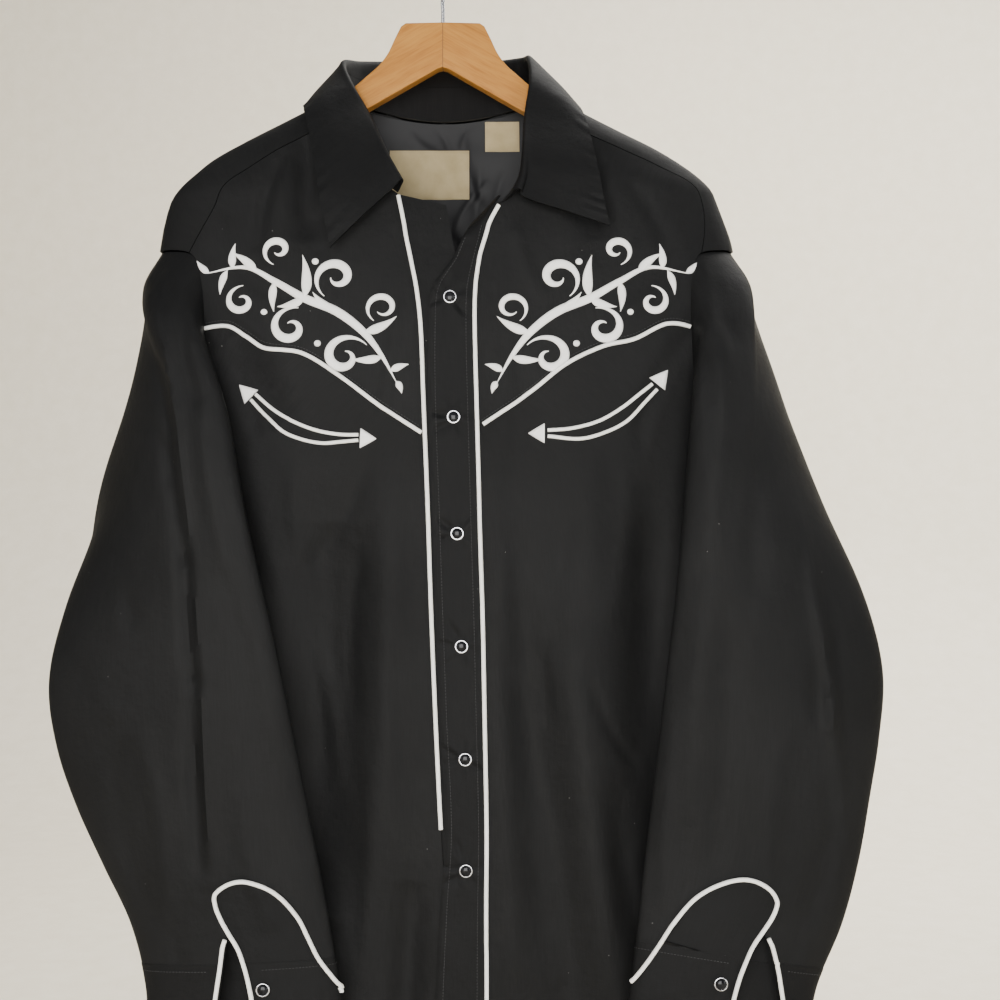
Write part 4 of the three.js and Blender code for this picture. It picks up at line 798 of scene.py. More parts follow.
for name in SIDES:
    cloth(f"yoke_cloth_{name}", front_yoke(name), CLOTH, DARK, f"front_yoke_{name}")
    cloth(f"front_cloth_{name}", front_panel(name), CLOTH, DARK, f"front_panel_{name}")

# %% [markdown]
# The fronts close with two strips. The under strip carries the studs. The lap lies over it with the snaps,
# and its upper end turns back where the neck stands open.

# %% Placket strips
LAP_LIFT = GAP + STAND_CLOTH + 0.8
LAP_TOP = -214
SNAPS = [[7.5, -298], [10.5, -395], [13.5, -489], [17, -580], [20, -671], [20.5, -761]]


def under_strip(across=16, down=240):
    u = np.linspace(0, 1, across + 1)[None, :]
    top = -212.5 - 9 * u
    z = top + (HEM_CENTRE - top) * np.linspace(0, 1, down + 1)[:, None]
    left = OPENING.under(z) + SEAM
    right = np.minimum(OPENING.under(z) + PLACKET_WIDTH, OPENING.lap(z) - BEAD - GAP)
    return front(left + (right - left) * u, z)


# from and to, as steps from a snap in x and z, then bow, width, height: one list for each snap, downwards
SNAP_CREASES = [
    [[-15, 12, -5, 3, 1, 2.2, -1.3], [-17, -6, -6, -3, -1, 2, -1.0], [5, -4, 14, -14, 1, 2.4, -0.9]],
    [[-18, 5, -6, 2, 1, 2, -1.4], [-16, -13, -4, -5, -1, 2.4, -1.1]],
    [[-16, 14, -5, 4, 1, 2.4, -1.2], [-17, -3, -6, -2, 1, 1.8, -1.3], [4, 5, 12, 16, -1, 2.2, -0.8]],
    [[-19, 2, -6, 1, -1, 2, -1.5], [-14, -16, -4, -6, 1, 2.4, -1.1], [-12, 22, -2, 8, 1, 2.6, -0.9]],
    [[-20, 10, -6, 3, 1, 2.2, -1.6], [-19, -5, -6, -2, -1, 2, -1.3], [5, -3, 15, -9, 1, 2, -1.0]],
    [[-20, 4, -6, 1, 1, 2, -1.6], [-18, -12, -5, -5, -1, 2.4, -1.3], [-10, 26, -4, 9, -1, 2.6, -1.0]]]
LAP_CREASES = [[x + row[0], z + row[1], x + row[2], z + row[3]] + row[4:]
               for (x, z), rows in zip(SNAPS, SNAP_CREASES) for row in rows]


def pucker(x, z):
    """Cloth drawn in a little round each snap."""
    total = creases(x, z, LAP_CREASES)
    for k, (sx, sz) in enumerate(SNAPS):
        away = np.hypot(x - sx, z - sz)
        ray = np.cos(5 * np.arctan2(z - sz, x - sx) + 1.7 * k)
        total += 0.5 * ray * np.exp(-((away - 11) / 7) ** 2)
    return total


def lap_point(u, z, lift=0.0):
    free, last = OPENING.free(z), OPENING.lap(z) - BEAD - GAP
    x = free + (last - free) * u
    rolled = 0.7 * np.exp(-(u / 0.05) ** 2)
    points, normals = front(x, z, LAP_LIFT + pucker(x, z) - rolled + lift)
    points[..., 1] += np.maximum(0, OPENING.turn(z)) * (1 - u) ** 2
    return points, normals


def lap_strip(across=32, down=380):
    z = np.linspace(LAP_TOP, HEM_CENTRE - 2, down + 1)[:, None]
    return lap_point(np.linspace(0, 1, across + 1)[None, :] + 0 * z, z)


cloth("under_strip_cloth", under_strip(), CLOTH, STIFF_TWILL_PAINTED_SHADE, "under_placket")
cloth("lap_strip_cloth", lap_strip(), STAND_CLOTH, STIFF_TWILL_PAINTED_SHADE, "placket")

# %% [markdown]
# ## Back
# The back yoke wraps over both shoulders, so its grid runs by x and by the depth below the shoulder ridge,
# before it or behind it. The back body hangs from its shallow point.

# %% Back yoke and back body
BACK_SEAM_SIDE, BACK_SEAM_POINT = -322, -348
BACK_SEAM_MIDDLE, BACK_SEAM_HALF = 5, 225


def back_seam(x):
    u = np.minimum(1, np.abs(x - BACK_SEAM_MIDDLE) / BACK_SEAM_HALF)
    return BACK_SEAM_POINT + (BACK_SEAM_SIDE - BACK_SEAM_POINT) * u


def tau(x, z, side):
    return side * np.sqrt(np.maximum(0, ridge(x) - z))


def back_yoke(half=40, neck_columns=96, down=80):
    seams = {name: moved(path(FORWARD_SEAM[name]), -SIDES[name] * 2 * GAP) for name in SIDES}
    neck = np.array([[x, 0 if abs(z + 118) < 0.5 else float(tau(np.array(float(x)), z, side))]
                     for x, z, side in BACK_NECK])
    dense = smooth_line(neck, 240)
    steps = np.linspace(0, len(dense) - 1, neck_columns + 1)
    middle = np.stack([np.interp(steps, np.arange(len(dense)), dense[:, k]) for k in range(2)], -1)[1:-1]
    ends = {}
    for name in SIDES:
        pair = seams[name](np.linspace(0, 1, half + 1))
        ends[name] = np.stack([pair[:, 0], tau(pair[:, 0], pair[:, 1], -1)], -1)
    top = np.vstack([ends["right"], middle, ends["left"][::-1]])
    u = np.linspace(0, 1, len(top))
    edge = [float(armhole_x(SIDES[name], BACK_SEAM_SIDE, 1)) for name in SIDES]
    x = edge[0] + (edge[1] - edge[0]) * u
    bottom = np.stack([x, tau(x, back_seam(x) + SEAM, 1)], -1)
    v = np.linspace(0, 1, down + 1)
    grid = top[None] + (bottom - top)[None] * v[:, None, None]
    for k, name in enumerate(SIDES):
        start = float(armhole_share(seams[name](0.0)[1])) / 2
        end = float(armhole_share(BACK_SEAM_SIDE)) / 2
        turn = start - (start + end) * v
        share = np.abs(turn) * 2
        z = ARM_TOP + (UNDERARM - ARM_TOP) * (1 - np.cos(math.pi * share)) / 2
        side = np.where(turn > 0, -1, 1)
        ax = armhole_x(SIDES[name], z, side)
        arm = np.stack([ax, side * np.sqrt(np.maximum(0, ridge(ax) - z))], -1)
        column = 0 if k == 0 else -1
        off = arm - (top[column] + (bottom[column] - top[column]) * v[:, None])
        off[0], off[-1] = 0, 0
        near = np.maximum(0, 1 - 5 * (u if k == 0 else 1 - u)) ** 1.5
        grid += off[:, None, :] * near[None, :, None]
    return over_shoulder(grid[..., 0], grid[..., 1])


SIDE_TUCK = 0.6


def back_body(across=150, down=160):
    def heights(x, v):
        return (back_seam(x) - SEAM) * (1 - v) + hem(x) * v

    def shape(z, u):
        angle = math.pi * 1.5 - math.pi * u
        for sign in SIDES.values():
            flank = math.pi * 1.5 if sign < 0 else math.pi / 2
            away = np.where(z > UNDERARM, angle_of(gentle_armhole(sign, z, 1), z, 1), flank) - flank
            angle = angle + away * (1 - u if sign < 0 else u) ** 2.5
        return angle

    ends = [float(armhole_x(sign, BACK_SEAM_SIDE, 1)) for sign in SIDES.values()]
    x = np.linspace(*ends, across + 1)
    top = np.column_stack([x, back_seam(x), angle_of(x, back_seam(x), 1)])
    points, normals = panel_grid(heights, shape, top, across, down)
    points = points + np.array([0, SEAM, 0])
    # the side edges run on a little under the fronts, so no light comes through the side seams
    for column, tuck in ((0, 1.0), (-1, 1.0), (1, 0.3), (-2, 0.3)):
        inwards = normals[:, column] * SIDE_TUCK + np.array([0, 2 * SEAM + SIDE_TUCK, 0])
        points[:, column] -= inwards * tuck
    return points, normals


cloth("back_yoke_cloth", back_yoke(), CLOTH, DARK, "back_yoke")
cloth("back_cloth", back_body(), CLOTH, DARK, "back_body")

# %% [markdown]
# ## Collar
# The collar is a stand with a fall rolled over it. Stations go round the neck from the right front end to
# the left one. Each has the neck seam, the inside of the roll and the fall's edge, and a smooth line joins
# them.

# %% Collar
# x, y, z of the neck seam, of the roll and of the edge
COLLAR = np.array([
    [-36, -44, -212, -31, -54, -204, -88, -64, -260], [-47, -41, -202, -42, -47, -184, -95, -60, -228],
    [-62, -35, -185, -52, -35, -163, -101, -52, -198], [-77, -28, -163, -63, -22, -141, -107, -39, -167],
    [-87, -20, -145, -75, -13, -117, -114, -20, -139], [-84, 0, -117, -84, 12, -91, -114, 8, -131],
    [-70, 24, -123, -71, 33, -85, -93, 44, -136], [-45, 28, -131, -43, 42, -83, -52, 55, -139],
    [0, 30, -136, 0, 45, -82, 0, 58, -140], [45, 28, -131, 41, 42, -82, 50, 55, -139],
    [70, 24, -123, 65, 33, -82, 90, 44, -136], [84, 0, -117, 72, 13, -88, 110, 8, -131],
    [89, -20, -144, 73, -13, -116, 116, -22, -142], [83, -28, -165, 69, -24, -146, 123, -42, -170],
    [75, -37, -190, 67, -40, -176, 128, -54, -198], [64, -42, -207, 65, -49, -197, 132, -60, -222],
    [51, -45, -219, 61, -55, -211, 136, -64, -242]], float)
STAND_SHARE, STAND_FOOT, ROLL_WIDTH = 0.58, 0.6, 5.6
YOKE_NECK = Table(["x", "z"], [[x, z] for x, z, side in BACK_NECK if side > 0])


def stations(t):
    keys = np.linspace(0, 1, len(COLLAR))
    value = [through(keys, COLLAR[:, j], t) for j in range(9)]
    neck, roll, edge = [np.stack(value[k:k + 3], -1) for k in (0, 3, 6)]
    # behind the shoulders the neck seam follows the yoke's own edge
    behind = np.clip((neck[:, 1] - 4) / 14, 0, 1)[:, None]
    seam = back(neck[:, 0], YOKE_NECK.z(neck[:, 0]), -CLOTH / 2)[0]
    return [neck + (seam - neck) * behind, roll, edge]


def grid_normals(points):
    across, down = np.gradient(points, axis=1), np.gradient(points, axis=0)
    normal = -np.cross(across, down)
    return normal / np.maximum(np.linalg.norm(normal, axis=-1, keepdims=True), 1e-9)


def unit(v):
    return v / np.maximum(np.linalg.norm(v, axis=-1, keepdims=True), 1e-9)


def stand(count=180, rows=14):
    neck, roll, _ = stations(np.linspace(0, 1, count + 1))
    up = roll - neck
    low = STAND_FOOT / np.linalg.norm(up, axis=-1, keepdims=True)
    share = np.linspace(0, 1, rows + 1)[:, None, None]
    points = neck + up * (low + (STAND_SHARE - low) * share)
    return points, grid_normals(points)


def fall(count=200, per_span=9):
    t = np.linspace(0, 1, count + 1)
    neck, roll, edge = stations(t)
    up = unit(roll - neck)
    out = edge - roll
    out = unit(out - up * (out * up).sum(-1, keepdims=True))
    outside = roll + out * ROLL_WIDTH - up * 0.5
    middle = (outside + edge) / 2 + out * 2.5
    first = neck + (roll - neck) * STAND_SHARE + up * GAP
    knots = np.stack([first, roll - up * 1.5, roll + out * ROLL_WIDTH * 0.45 + up * 1.6, outside - up * 1.2,
                      middle, edge])
    columns = [smooth_line(knots[:, k], per_span) for k in range(count + 1)]
    points = np.stack(columns, axis=1)
    # the leaf waves a little between its roll and its edge
    share = np.linspace(0, 1, points.shape[0])[:, None]
    wave = 0.9 * np.sin(t * 23 + 0.6) * np.sin(math.pi * np.clip(share * 1.4 - 0.4, 0, 1))
    wave = wave + 0.4 * np.sin(t * 240) * np.sin(t * 37 + 1) * np.clip((share - 0.86) / 0.1, 0, 1)
    normals = grid_normals(points)
    return points + normals * wave[..., None], normals


collar_leaf = fall()
cloth("stand_cloth", stand(), STAND_CLOTH, INNER_STAND_PAINTED_SHADE, "collar_stand")
cloth("fall_cloth", collar_leaf, STAND_CLOTH, STIFF_TWILL_PAINTED_SHADE, "collar_fall")

# %% [markdown]
# ## Sleeves and cuffs
# A sleeve hangs as a flattened tube in front of the body. Four lines run down it: the overarm ridge, the
# inner fold, the underarm seam and the elbow edge. At each height a smooth ring passes through the four,
# and near the top it gives way to the armhole's own shape. A cuff is the same tube left open at its slit.

# %% Sleeve form
SLEEVE_LINES = {
    "right": {
        "ridge": [[-254, -238, 0], [-285, -248, -22], [-320, -240, -46], [-376, -214, -70],
                  [-427, -204, -82], [-509, -194, -88], [-598, -187, -90], [-734, -180, -90],
                  [-827, -168, -92], [-897, -160, -94]],
        "inner": [[-330, -196, -40], [-376, -176, -62], [-449, -163, -72], [-509, -151, -76],
                  [-586, -131, -77], [-655, -115, -77], [-723, -101, -77], [-779, -90, -78],
                  [-852, -78, -80], [-893, -72, -80]],
        "under": [[-500, -238, 0], [-540, -243, -14], [-580, -232, -44], [-640, -212, -60],
                  [-720, -195, -62], [-828, -160, -64], [-898, -152, -66]],
        "outer": [[-370, -212, 36], [-410, -251, 22], [-462, -289, 6], [-511, -296, -12], [-559, -310, -34],
                  [-608, -318, -48], [-656, -310, -56], [-705, -293, -60], [-754, -270, -64],
                  [-802, -246, -68], [-851, -233, -72], [-898, -232, -74]],
        "seam": [-827, -824, -828, -831], "end": [-897, -893, -898, -901]}, "left": {
            "ridge": [[-254, 244, 0], [-285, 257, -22], [-320, 256, -44], [-376, 253, -66],
                      [-427, 250, -78], [-509, 256, -86], [-598, 266, -88], [-734, 258, -88],
                      [-822, 236, -90], [-893, 222, -92]],
            "inner": [[-330, 208, -42], [-389, 201, -62], [-422, 198, -70], [-509, 190, -76],
                      [-557, 185, -77], [-682, 171, -77], [-802, 157, -78], [-857, 150, -80],
                      [-887, 147, -80]],
            "under": [[-500, 255, 0], [-540, 262, -14], [-580, 254, -44], [-640, 244, -60],
                      [-720, 240, -62], [-828, 226, -64], [-898, 218, -66]],
            "outer": [[-370, 221, 36], [-413, 276, 18], [-462, 303, 0], [-511, 327, -18], [-559, 348, -36],
                      [-608, 358, -48], [-656, 353, -56], [-705, 344, -60], [-754, 334, -64],
                      [-802, 320, -68], [-851, 299, -72], [-902, 291, -74]],
            "seam": [-822, -812, -828, -836], "end": [-893, -885, -898, -906]}}
LINE_STARTS = {"ridge": -254, "inner": -330, "under": -500, "outer": -370}
CAP_SHARE, SEAM_TUCK = 0.3, 1.4
SLEEVE_TABLES = {name: {line: Table(["z", "x", "y"], rows) for line, rows in lines.items()
                        if line in LINE_STARTS} for name, lines in SLEEVE_LINES.items()}
# x0, z0, x1, z1, bow, width, height, on the side that faces the viewer
SLEEVE_CREASES = {
    "right": [[-236, -285, -203, -500, -8, 8, 4.0], [-203, -500, -183, -770, -5, 10, 4.3],
              [-244, -396, -216, -452, -10, 6, -3.2], [-262, -398, -236, -470, 9, 7, 2.9],
              [-282, -512, -244, -566, -10, 8, -3.6], [-296, -560, -250, -640, 10, 11, 2.5],
              [-186, -380, -164, -520, 5, 8, 2.2], [-170, -520, -140, -690, -5, 10, -2.0],
              [-262, -650, -226, -800, 8, 11, -2.7], [-240, -640, -214, -780, -6, 10, 2.2],
              [-206, -300, -190, -390, 6, 6, -2.9], [-222, -262, -246, -300, 4, 6, -2.2],
              [-154, -700, -128, -800, 5, 8, 1.8], [-228, -345, -213, -415, 1, 6, -3.5],
              [-215, -395, -199, -520, 2, 6, -5.5], [-200, -500, -192, -615, 1, 7, -7.5],
              [-193, -595, -186, -760, 2, 7, -7.0], [-243, -272, -219, -344, 2, 2.4, 1.3],
              [-221, -334, -206, -405, 1, 2.4, 1.4], [-208, -393, -191, -515, 2, 2.4, 1.5],
              [-193, -500, -184, -604, 1, 2.4, 1.5], [-185, -590, -178, -745, 2, 2.4, 1.4],
              [-208, -800, -186, -880, 4, 7, -2.2], [-290, -640, -262, -700, 6, 8, 2.3]],
    "left": [[284, -425, 294, -490, -1, 5, 3.5], [291, -470, 300, -560, -1, 5, 4.5],
             [298, -540, 312, -650, -1, 5, 5.0], [309, -630, 322, -720, -1, 6, 3.5],
             [232, -320, 214, -520, 6, 11, 2.9], [214, -520, 196, -720, 4, 12, 2.7],
             [284, -428, 303, -545, -5, 7, 3.6], [303, -545, 312, -648, -4, 7, 4.1],
             [296, -460, 318, -600, -5, 7, -4.0], [262, -400, 248, -540, 6, 11, -2.3],
             [228, -560, 214, -760, -6, 10, -2.2], [330, -560, 300, -640, 8, 11, -2.7],
             [270, -640, 262, -780, 6, 11, 2.2], [316, -680, 290, -800, -6, 11, -2.7],
             [226, -268, 238, -340, 5, 7, -2.5], [205, -330, 216, -430, -4, 7, -2.0],
             [248, -268, 268, -340, 6, 8, 2.2], [186, -620, 178, -790, 3, 7, 1.8],
             [296, -800, 284, -880, 4, 8, 2.0]]}
SLEEVE_BACK_CREASES = {
    "right": [[-236, -420, -214, -600, 8, 12, -3.2], [-262, -520, -236, -700, -8, 12, 3.1],
              [-200, -640, -180, -800, 5, 11, -2.5]],
    "left": [[268, -420, 252, -600, -8, 12, -3.2], [300, -540, 284, -720, 8, 12, 3.1],
             [240, -640, 228, -800, -5, 11, -2.5]]}


def sleeve_line(name, line, t):
    k = list(LINE_STARTS).index(line)
    seam, end = SLEEVE_LINES[name]["seam"][k], SLEEVE_LINES[name]["end"][k]
    z = np.where(t <= 1, LINE_STARTS[line] + (seam - LINE_STARTS[line]) * t, seam + (end - seam) * (t - 1))
    rows = SLEEVE_TABLES[name][line]
    return np.stack([rows.x(z), rows.y(z), z], -1)


def armhole_point(sign, turn):
    side = np.where(turn <= 0.5, -1, 1)
    share = np.where(turn <= 0.5, turn * 2, (1 - turn) * 2)
    z = ARM_TOP + (UNDERARM - ARM_TOP) * (1 - np.cos(math.pi * share)) / 2
    return body(armhole_x(sign, z, side), z, side, small=False)


def ring(name, turn, t):
    a, b, c, d = (sleeve_line(name, line, t) for line in LINE_STARTS)
    angle = (turn * math.pi * 2)[..., None]
    return (a + b + c + d) / 4 + (a - c) * np.cos(angle) / 2 + (b - d) * np.sin(angle) / 2 \
        + (a - b + c - d) * np.cos(2 * angle) / 4


def sleeve_form(name, turn, t):
    turn, t = np.broadcast_arrays(np.asarray(turn, float), np.asarray(t, float))
    turn = turn - np.floor(turn)
    sign = SIDES[name]
    fade = (np.maximum(0, 1 - t / CAP_SHARE) ** 2)[..., None]
    seam = armhole_point(sign, turn)
    inwards = unit(np.stack([0 * turn, -seam[..., 1], -380 - seam[..., 2]], -1))
    seam = seam + inwards * 1.5 - np.array([sign * SEAM_TUCK, 0, 0])
    return ring(name, turn, t) + fade * (seam - ring(name, turn, 0 * t))


def sleeve(name, turn, t):
    point = sleeve_form(name, turn, t)
    centre = (point + sleeve_form(name, np.asarray(turn) + 0.5, t)) / 2
    facing = np.clip((point - centre)[..., 1] / 9, -1, 1)
    x, z = point[..., 0], point[..., 2]
    relief = np.where(facing < 0, creases(x, z, SLEEVE_CREASES[name]),
                      creases(x, z, SLEEVE_BACK_CREASES[name]))
    near_cuff = np.clip((1.04 - np.asarray(t)) / 0.1, 0.15, 1)
    point = point.copy()
    point[..., 1] += facing * relief * near_cuff
    return point


def on_sleeve(name, turn, t, lift=0.0):
    centre = (sleeve_form(name, turn, t) + sleeve_form(name, turn + 0.5, t)) / 2
    outwards = sleeve_form(name, turn, t) - centre
    return lifted(lambda a, b: sleeve(name, a, b), turn, t, 0.004, 0.002, outwards, lift)


def find_on_sleeve(name, x, z):
    """The turn and the share down the sleeve of the outer point that shows at x, z from the front."""
    x, z = np.asarray(x, float), np.asarray(z, float)
    turn, t = 0 * x, 0 * x + 0.9
    for _ in range(40):
        here = sleeve_form(name, turn, t)
        by_turn = (sleeve_form(name, turn + 0.003, t) - here) / 0.003
        by_t = (sleeve_form(name, turn, t + 0.003) - here) / 0.003
        det = by_turn[..., 0] * by_t[..., 2] - by_turn[..., 2] * by_t[..., 0]
        dx, dz = x - here[..., 0], z - here[..., 2]
        turn = turn + np.clip((dx * by_t[..., 2] - dz * by_t[..., 0]) / det, -0.03, 0.03)
        t = t + np.clip((by_turn[..., 0] * dz - by_turn[..., 2] * dx) / det, -0.1, 0.1)
    return turn, t


def sleeve_front(name, x, z, lift=0.0):
    turn, t = find_on_sleeve(name, x, z)
    return on_sleeve(name, turn, t, lift)


SLIT_TOP, CUFF_LIFT = -803, 0.35
CUFF_SLIT = {
    "right": {"lap": Table(["z", "x"], [[-803, -163.5], [-828, -153], [-852, -148], [-897, -140]]),
              "under": Table(["z", "x"], [[-803, -165.5], [-828, -168.5], [-852, -172], [-897, -178]])},
    "left": {"lap": Table(["z", "x"], [[-803, 255], [-828, 240], [-852, 233], [-893, 223]]),
             "under": Table(["z", "x"], [[-803, 256.5], [-828, 263], [-852, 267], [-893, 274]])}}


def slit_turn(name, edge, t):
    line = CUFF_SLIT[name][edge]
    t = np.asarray(t, float)
    turn = 0 * t
    for _ in range(12):
        here, ahead = sleeve_form(name, turn, t), sleeve_form(name, turn + 0.002, t)
        turn = turn + (line.x(here[..., 2]) - here[..., 0]) / ((ahead[..., 0] - here[..., 0]) / 0.002)
    return turn


print("sleeve ridge at the elbow", sleeve("right", 0.0, 0.6).round(1).tolist())

# %% Sleeves and cuffs
def sleeve_grid(name, around=150, down=190):
    t = np.linspace(0, 1, down + 1)[:, None]
    z = sleeve_form(name, 0 * t, t)[..., 2]
    slit_t = float(np.interp(-SLIT_TOP, -z[:, 0], t[:, 0]))
    held = np.maximum(t, slit_t)
    first, last = slit_turn(name, "lap", held), slit_turn(name, "under", held) + 1
    middle = (float(slit_turn(name, "lap", slit_t)) + float(slit_turn(name, "under", slit_t))) / 2
    above = t <= slit_t
    first = np.where(above, middle, first)
    last = np.where(above, middle + 1, last)
    u = np.linspace(0, 1, around + 1)[None, :]
    return on_sleeve(name, first + (last - first) * u, t + 0 * u)


def cuff_grid(name, around=150, down=26):
    t = (0.998 + 1.002 * np.linspace(0, 1, down + 1))[:, None]
    first, last = slit_turn(name, "lap", t), slit_turn(name, "under", t) + 1
    u = np.linspace(0, 1, around + 1)[None, :]
    return on_sleeve(name, first + (last - first) * u, t + 0 * u, CUFF_LIFT)


for name in SIDES:
    cloth(f"sleeve_cloth_{name}", sleeve_grid(name), CLOTH, DARK, f"sleeve_{name}",
          merge=True)
    cloth(f"cuff_cloth_{name}", cuff_grid(name), CUFF_CLOTH, STIFF_TWILL_PAINTED_SHADE, f"cuff_{name}")

# %% [markdown]
# Each cuff has a shaped patch above it, a western arch, piped along its upper edge.

# %% Cuff arches
ARCH = {
    "right": {"leg": [[-152.6, -825], [-157, -813], [-164, -801.5], [-170, -791], [-174.5, -780]],
              "top": [[-174.5, -780], [-175, -771], [-166, -763.5], [-154, -760.5], [-143, -762.5],
                      [-126, -772.5], [-111, -790]], "fall": [[-111, -790], [-104, -804], [-96, -821]],
              "cross": [[-96, -821], [-85, -837.5], [-76, -850.5]], "seam": [-824.5, -822.5]},
    "left": {"leg": [[240, -825], [246, -812], [255, -799], [261, -790], [264.5, -782]],
             "top": [[264.5, -782], [265, -777], [260, -768], [250, -761.5], [238, -759.5], [222, -763],
                     [202, -774], [184, -795]], "fall": [[184, -795], [179.5, -802], [175, -809.5]],
             "cross": [[175, -809.5], [165, -825], [157, -836.5], [153, -842]], "seam": [-823.5, -808]}}
ARCH_LIFT = 0.4


def arch_grid(name, across=48, down=30):
    sign, arch = SIDES[name], ARCH[name]
    inset = sign * (BEAD + GAP)
    leg, top, drop = (moved(path(arch[key]), inset) for key in ("leg", "top", "fall"))
    upper_leg, upper_fall = (leg(1.0) + top(0.0)) / 2, (top(1.0) + drop(0.0)) / 2
    first = np.array([leg(0.0)[0], arch["seam"][0]])
    last = np.array([drop(1.0)[0] + sign * 0.8, arch["seam"][1]])
    u, v = np.linspace(0, 1, across + 1), np.linspace(0, 1, down + 1)
    over, under = top(u), first + (last - first) * u[:, None]
    start, end = leg(1 - v), drop(v)
    over[0], over[-1] = upper_leg, upper_fall
    start[0], start[-1] = upper_leg, first
    end[0], end[-1] = upper_fall, last
    uu, vv = u[None, :, None], v[:, None, None]
    pair = (over[None] * (1 - vv) + under[None] * vv + start[:, None] * (1 - uu) + end[:, None] * uu
            - ((over[0] * (1 - uu) + over[-1] * uu) * (1 - vv)
               + (under[0] * (1 - uu) + under[-1] * uu) * vv))
    return sleeve_front(name, pair[..., 0], pair[..., 1], ARCH_LIFT + CLOTH)


for name in SIDES:
    cloth(f"arch_cloth_{name}", arch_grid(name), CLOTH, STIFF_TWILL_PAINTED_SHADE, f"cuff_arch_{name}")

# %% [markdown]
# ## Piping
# Piping is a cord in a folded strip, sewn into a seam so that the cord stands on it. A bead swept along the
# same seam lines as the panels gives it, and its UV runs round and along the cord, for the strip's fine
# ribs.

# %% Sweeping a bead
def bead_mesh(name, points, normals, radius=BEAD, around=12):
    run = unit(np.gradient(points, axis=0))
    across = unit(np.cross(run, normals))
    up = unit(np.cross(across, run))
    angle = (np.arange(around) + 0.5) / around * 2 * math.pi
    radius = np.broadcast_to(np.asarray(radius, float), (len(points),))[:, None, None]
    rings = points[:, None] + radius * (across[:, None] * np.cos(angle)[None, :, None]
                                        + up[:, None] * np.sin(angle)[None, :, None])
    count = len(points)
    faces = [[i * around + k, i * around + (k + 1) % around, (i + 1) * around + (k + 1) % around,
              (i + 1) * around + k] for i in range(count - 1) for k in range(around)]
    faces += [list(range(around))[::-1], [(count - 1) * around + k for k in range(around)]]
    mesh = bpy.data.meshes.new(name)
    mesh.from_pydata((rings.reshape(-1, 3) / 1000).tolist(), [], faces)
    length = np.concatenate([[0], np.cumsum(np.linalg.norm(np.diff(points, axis=0), axis=1))]) / 1000
    layer = mesh.uv_layers.new(name="cloth")
    uv = []
    for polygon in mesh.polygons:
        ks = [mesh.loops[i].vertex_index for i in polygon.loop_indices]
        turns = [k % around for k in ks]
        wraps = len(ks) == 4 and around - 1 in turns and 0 in turns
        for k in ks:
            step = k % around + (around if wraps and k % around == 0 else 0)
            uv += [step / around * 2 * math.pi * float(radius[k // around, 0, 0]) / 1000,
                   length[k // around]]
    layer.data.foreach_set("uv", uv)
    return outward(mesh)


def outward(mesh):
    work = bmesh.new()
    work.from_mesh(mesh)
    bmesh.ops.recalc_face_normals(work, faces=work.faces)
    work.to_mesh(mesh)
    work.free()
    return mesh


def bead(name, grid, node, finish=None, slot="piping", **sizes):
    piece = finish_mesh(name, bead_mesh(name, *grid, **sizes), finish or PIPING, node, crisp=1.2)
    return piece


PIPE_LIFT = BEAD - 0.1
UNDER_PIPING_END = -728


def yoke_piping(name):
    route = yoke_seam(name, np.linspace(0.015, 0.985 if name == "right" else 0.965, 170))
    return front(route[:, 0], route[:, 1] - SEAM, PIPE_LIFT)


def lap_shift(z):
    return 1.6 * np.clip((z + 262) / 20, 0, 1)


def placket_piping(name):
    if name == "right":
        z = np.linspace(-214, UNDER_PIPING_END, 320)
        return front(OPENING.under(z) - GAP, z, PIPE_LIFT)
    z = np.linspace(-222, HEM_CENTRE + 1, 420)
    return front(OPENING.lap(z) + lap_shift(z), z, PIPE_LIFT)


def arch_route(name):
    sign, arch, slit = SIDES[name], ARCH[name], CUFF_SLIT[name]["lap"]
    low = SLEEVE_LINES[name]["end"][0] + 1
    start = [[float(slit.x(low)) - sign * 2, low], [float(slit.x(-860)) - sign * 2, -860],
             [float(slit.x(-838)) - sign * 1.5, -838]]
    return path(start + arch["leg"] + arch["top"][1:] + arch["fall"][1:] + arch["cross"][1:])


def arch_piping(name):
    route = arch_route(name)(np.linspace(0, 1, 260))
    return sleeve_front(name, route[:, 0], route[:, 1], PIPE_LIFT + CUFF_LIFT + 0.3)


def slit_piping(name):
    z = np.linspace(SLIT_TOP - 3, SLEEVE_LINES[name]["end"][0] + 1, 80)
    x = CUFF_SLIT[name]["under"].x(z) + SIDES[name] * 2.4 * np.minimum(1, (SLIT_TOP - 3 - z) / 12 + 0.5)
    return sleeve_front(name, x, z, PIPE_LIFT + CUFF_LIFT + 0.1)


for name in SIDES:
    for kind, route in (("yoke", yoke_piping), ("placket", placket_piping), ("arch", arch_piping),
                        ("slit", slit_piping)):
        bead(f"{kind}_cord_{name}", route(name), f"piping_{kind}_{name}")

# %% [markdown]
# ## Smile pockets
# A smile pocket is a curved slit bound in piping, with an embroidered arrowhead at each end that stops the
# slit from tearing. The arrowheads are satin stitch, so they are domed and their threads lie across.

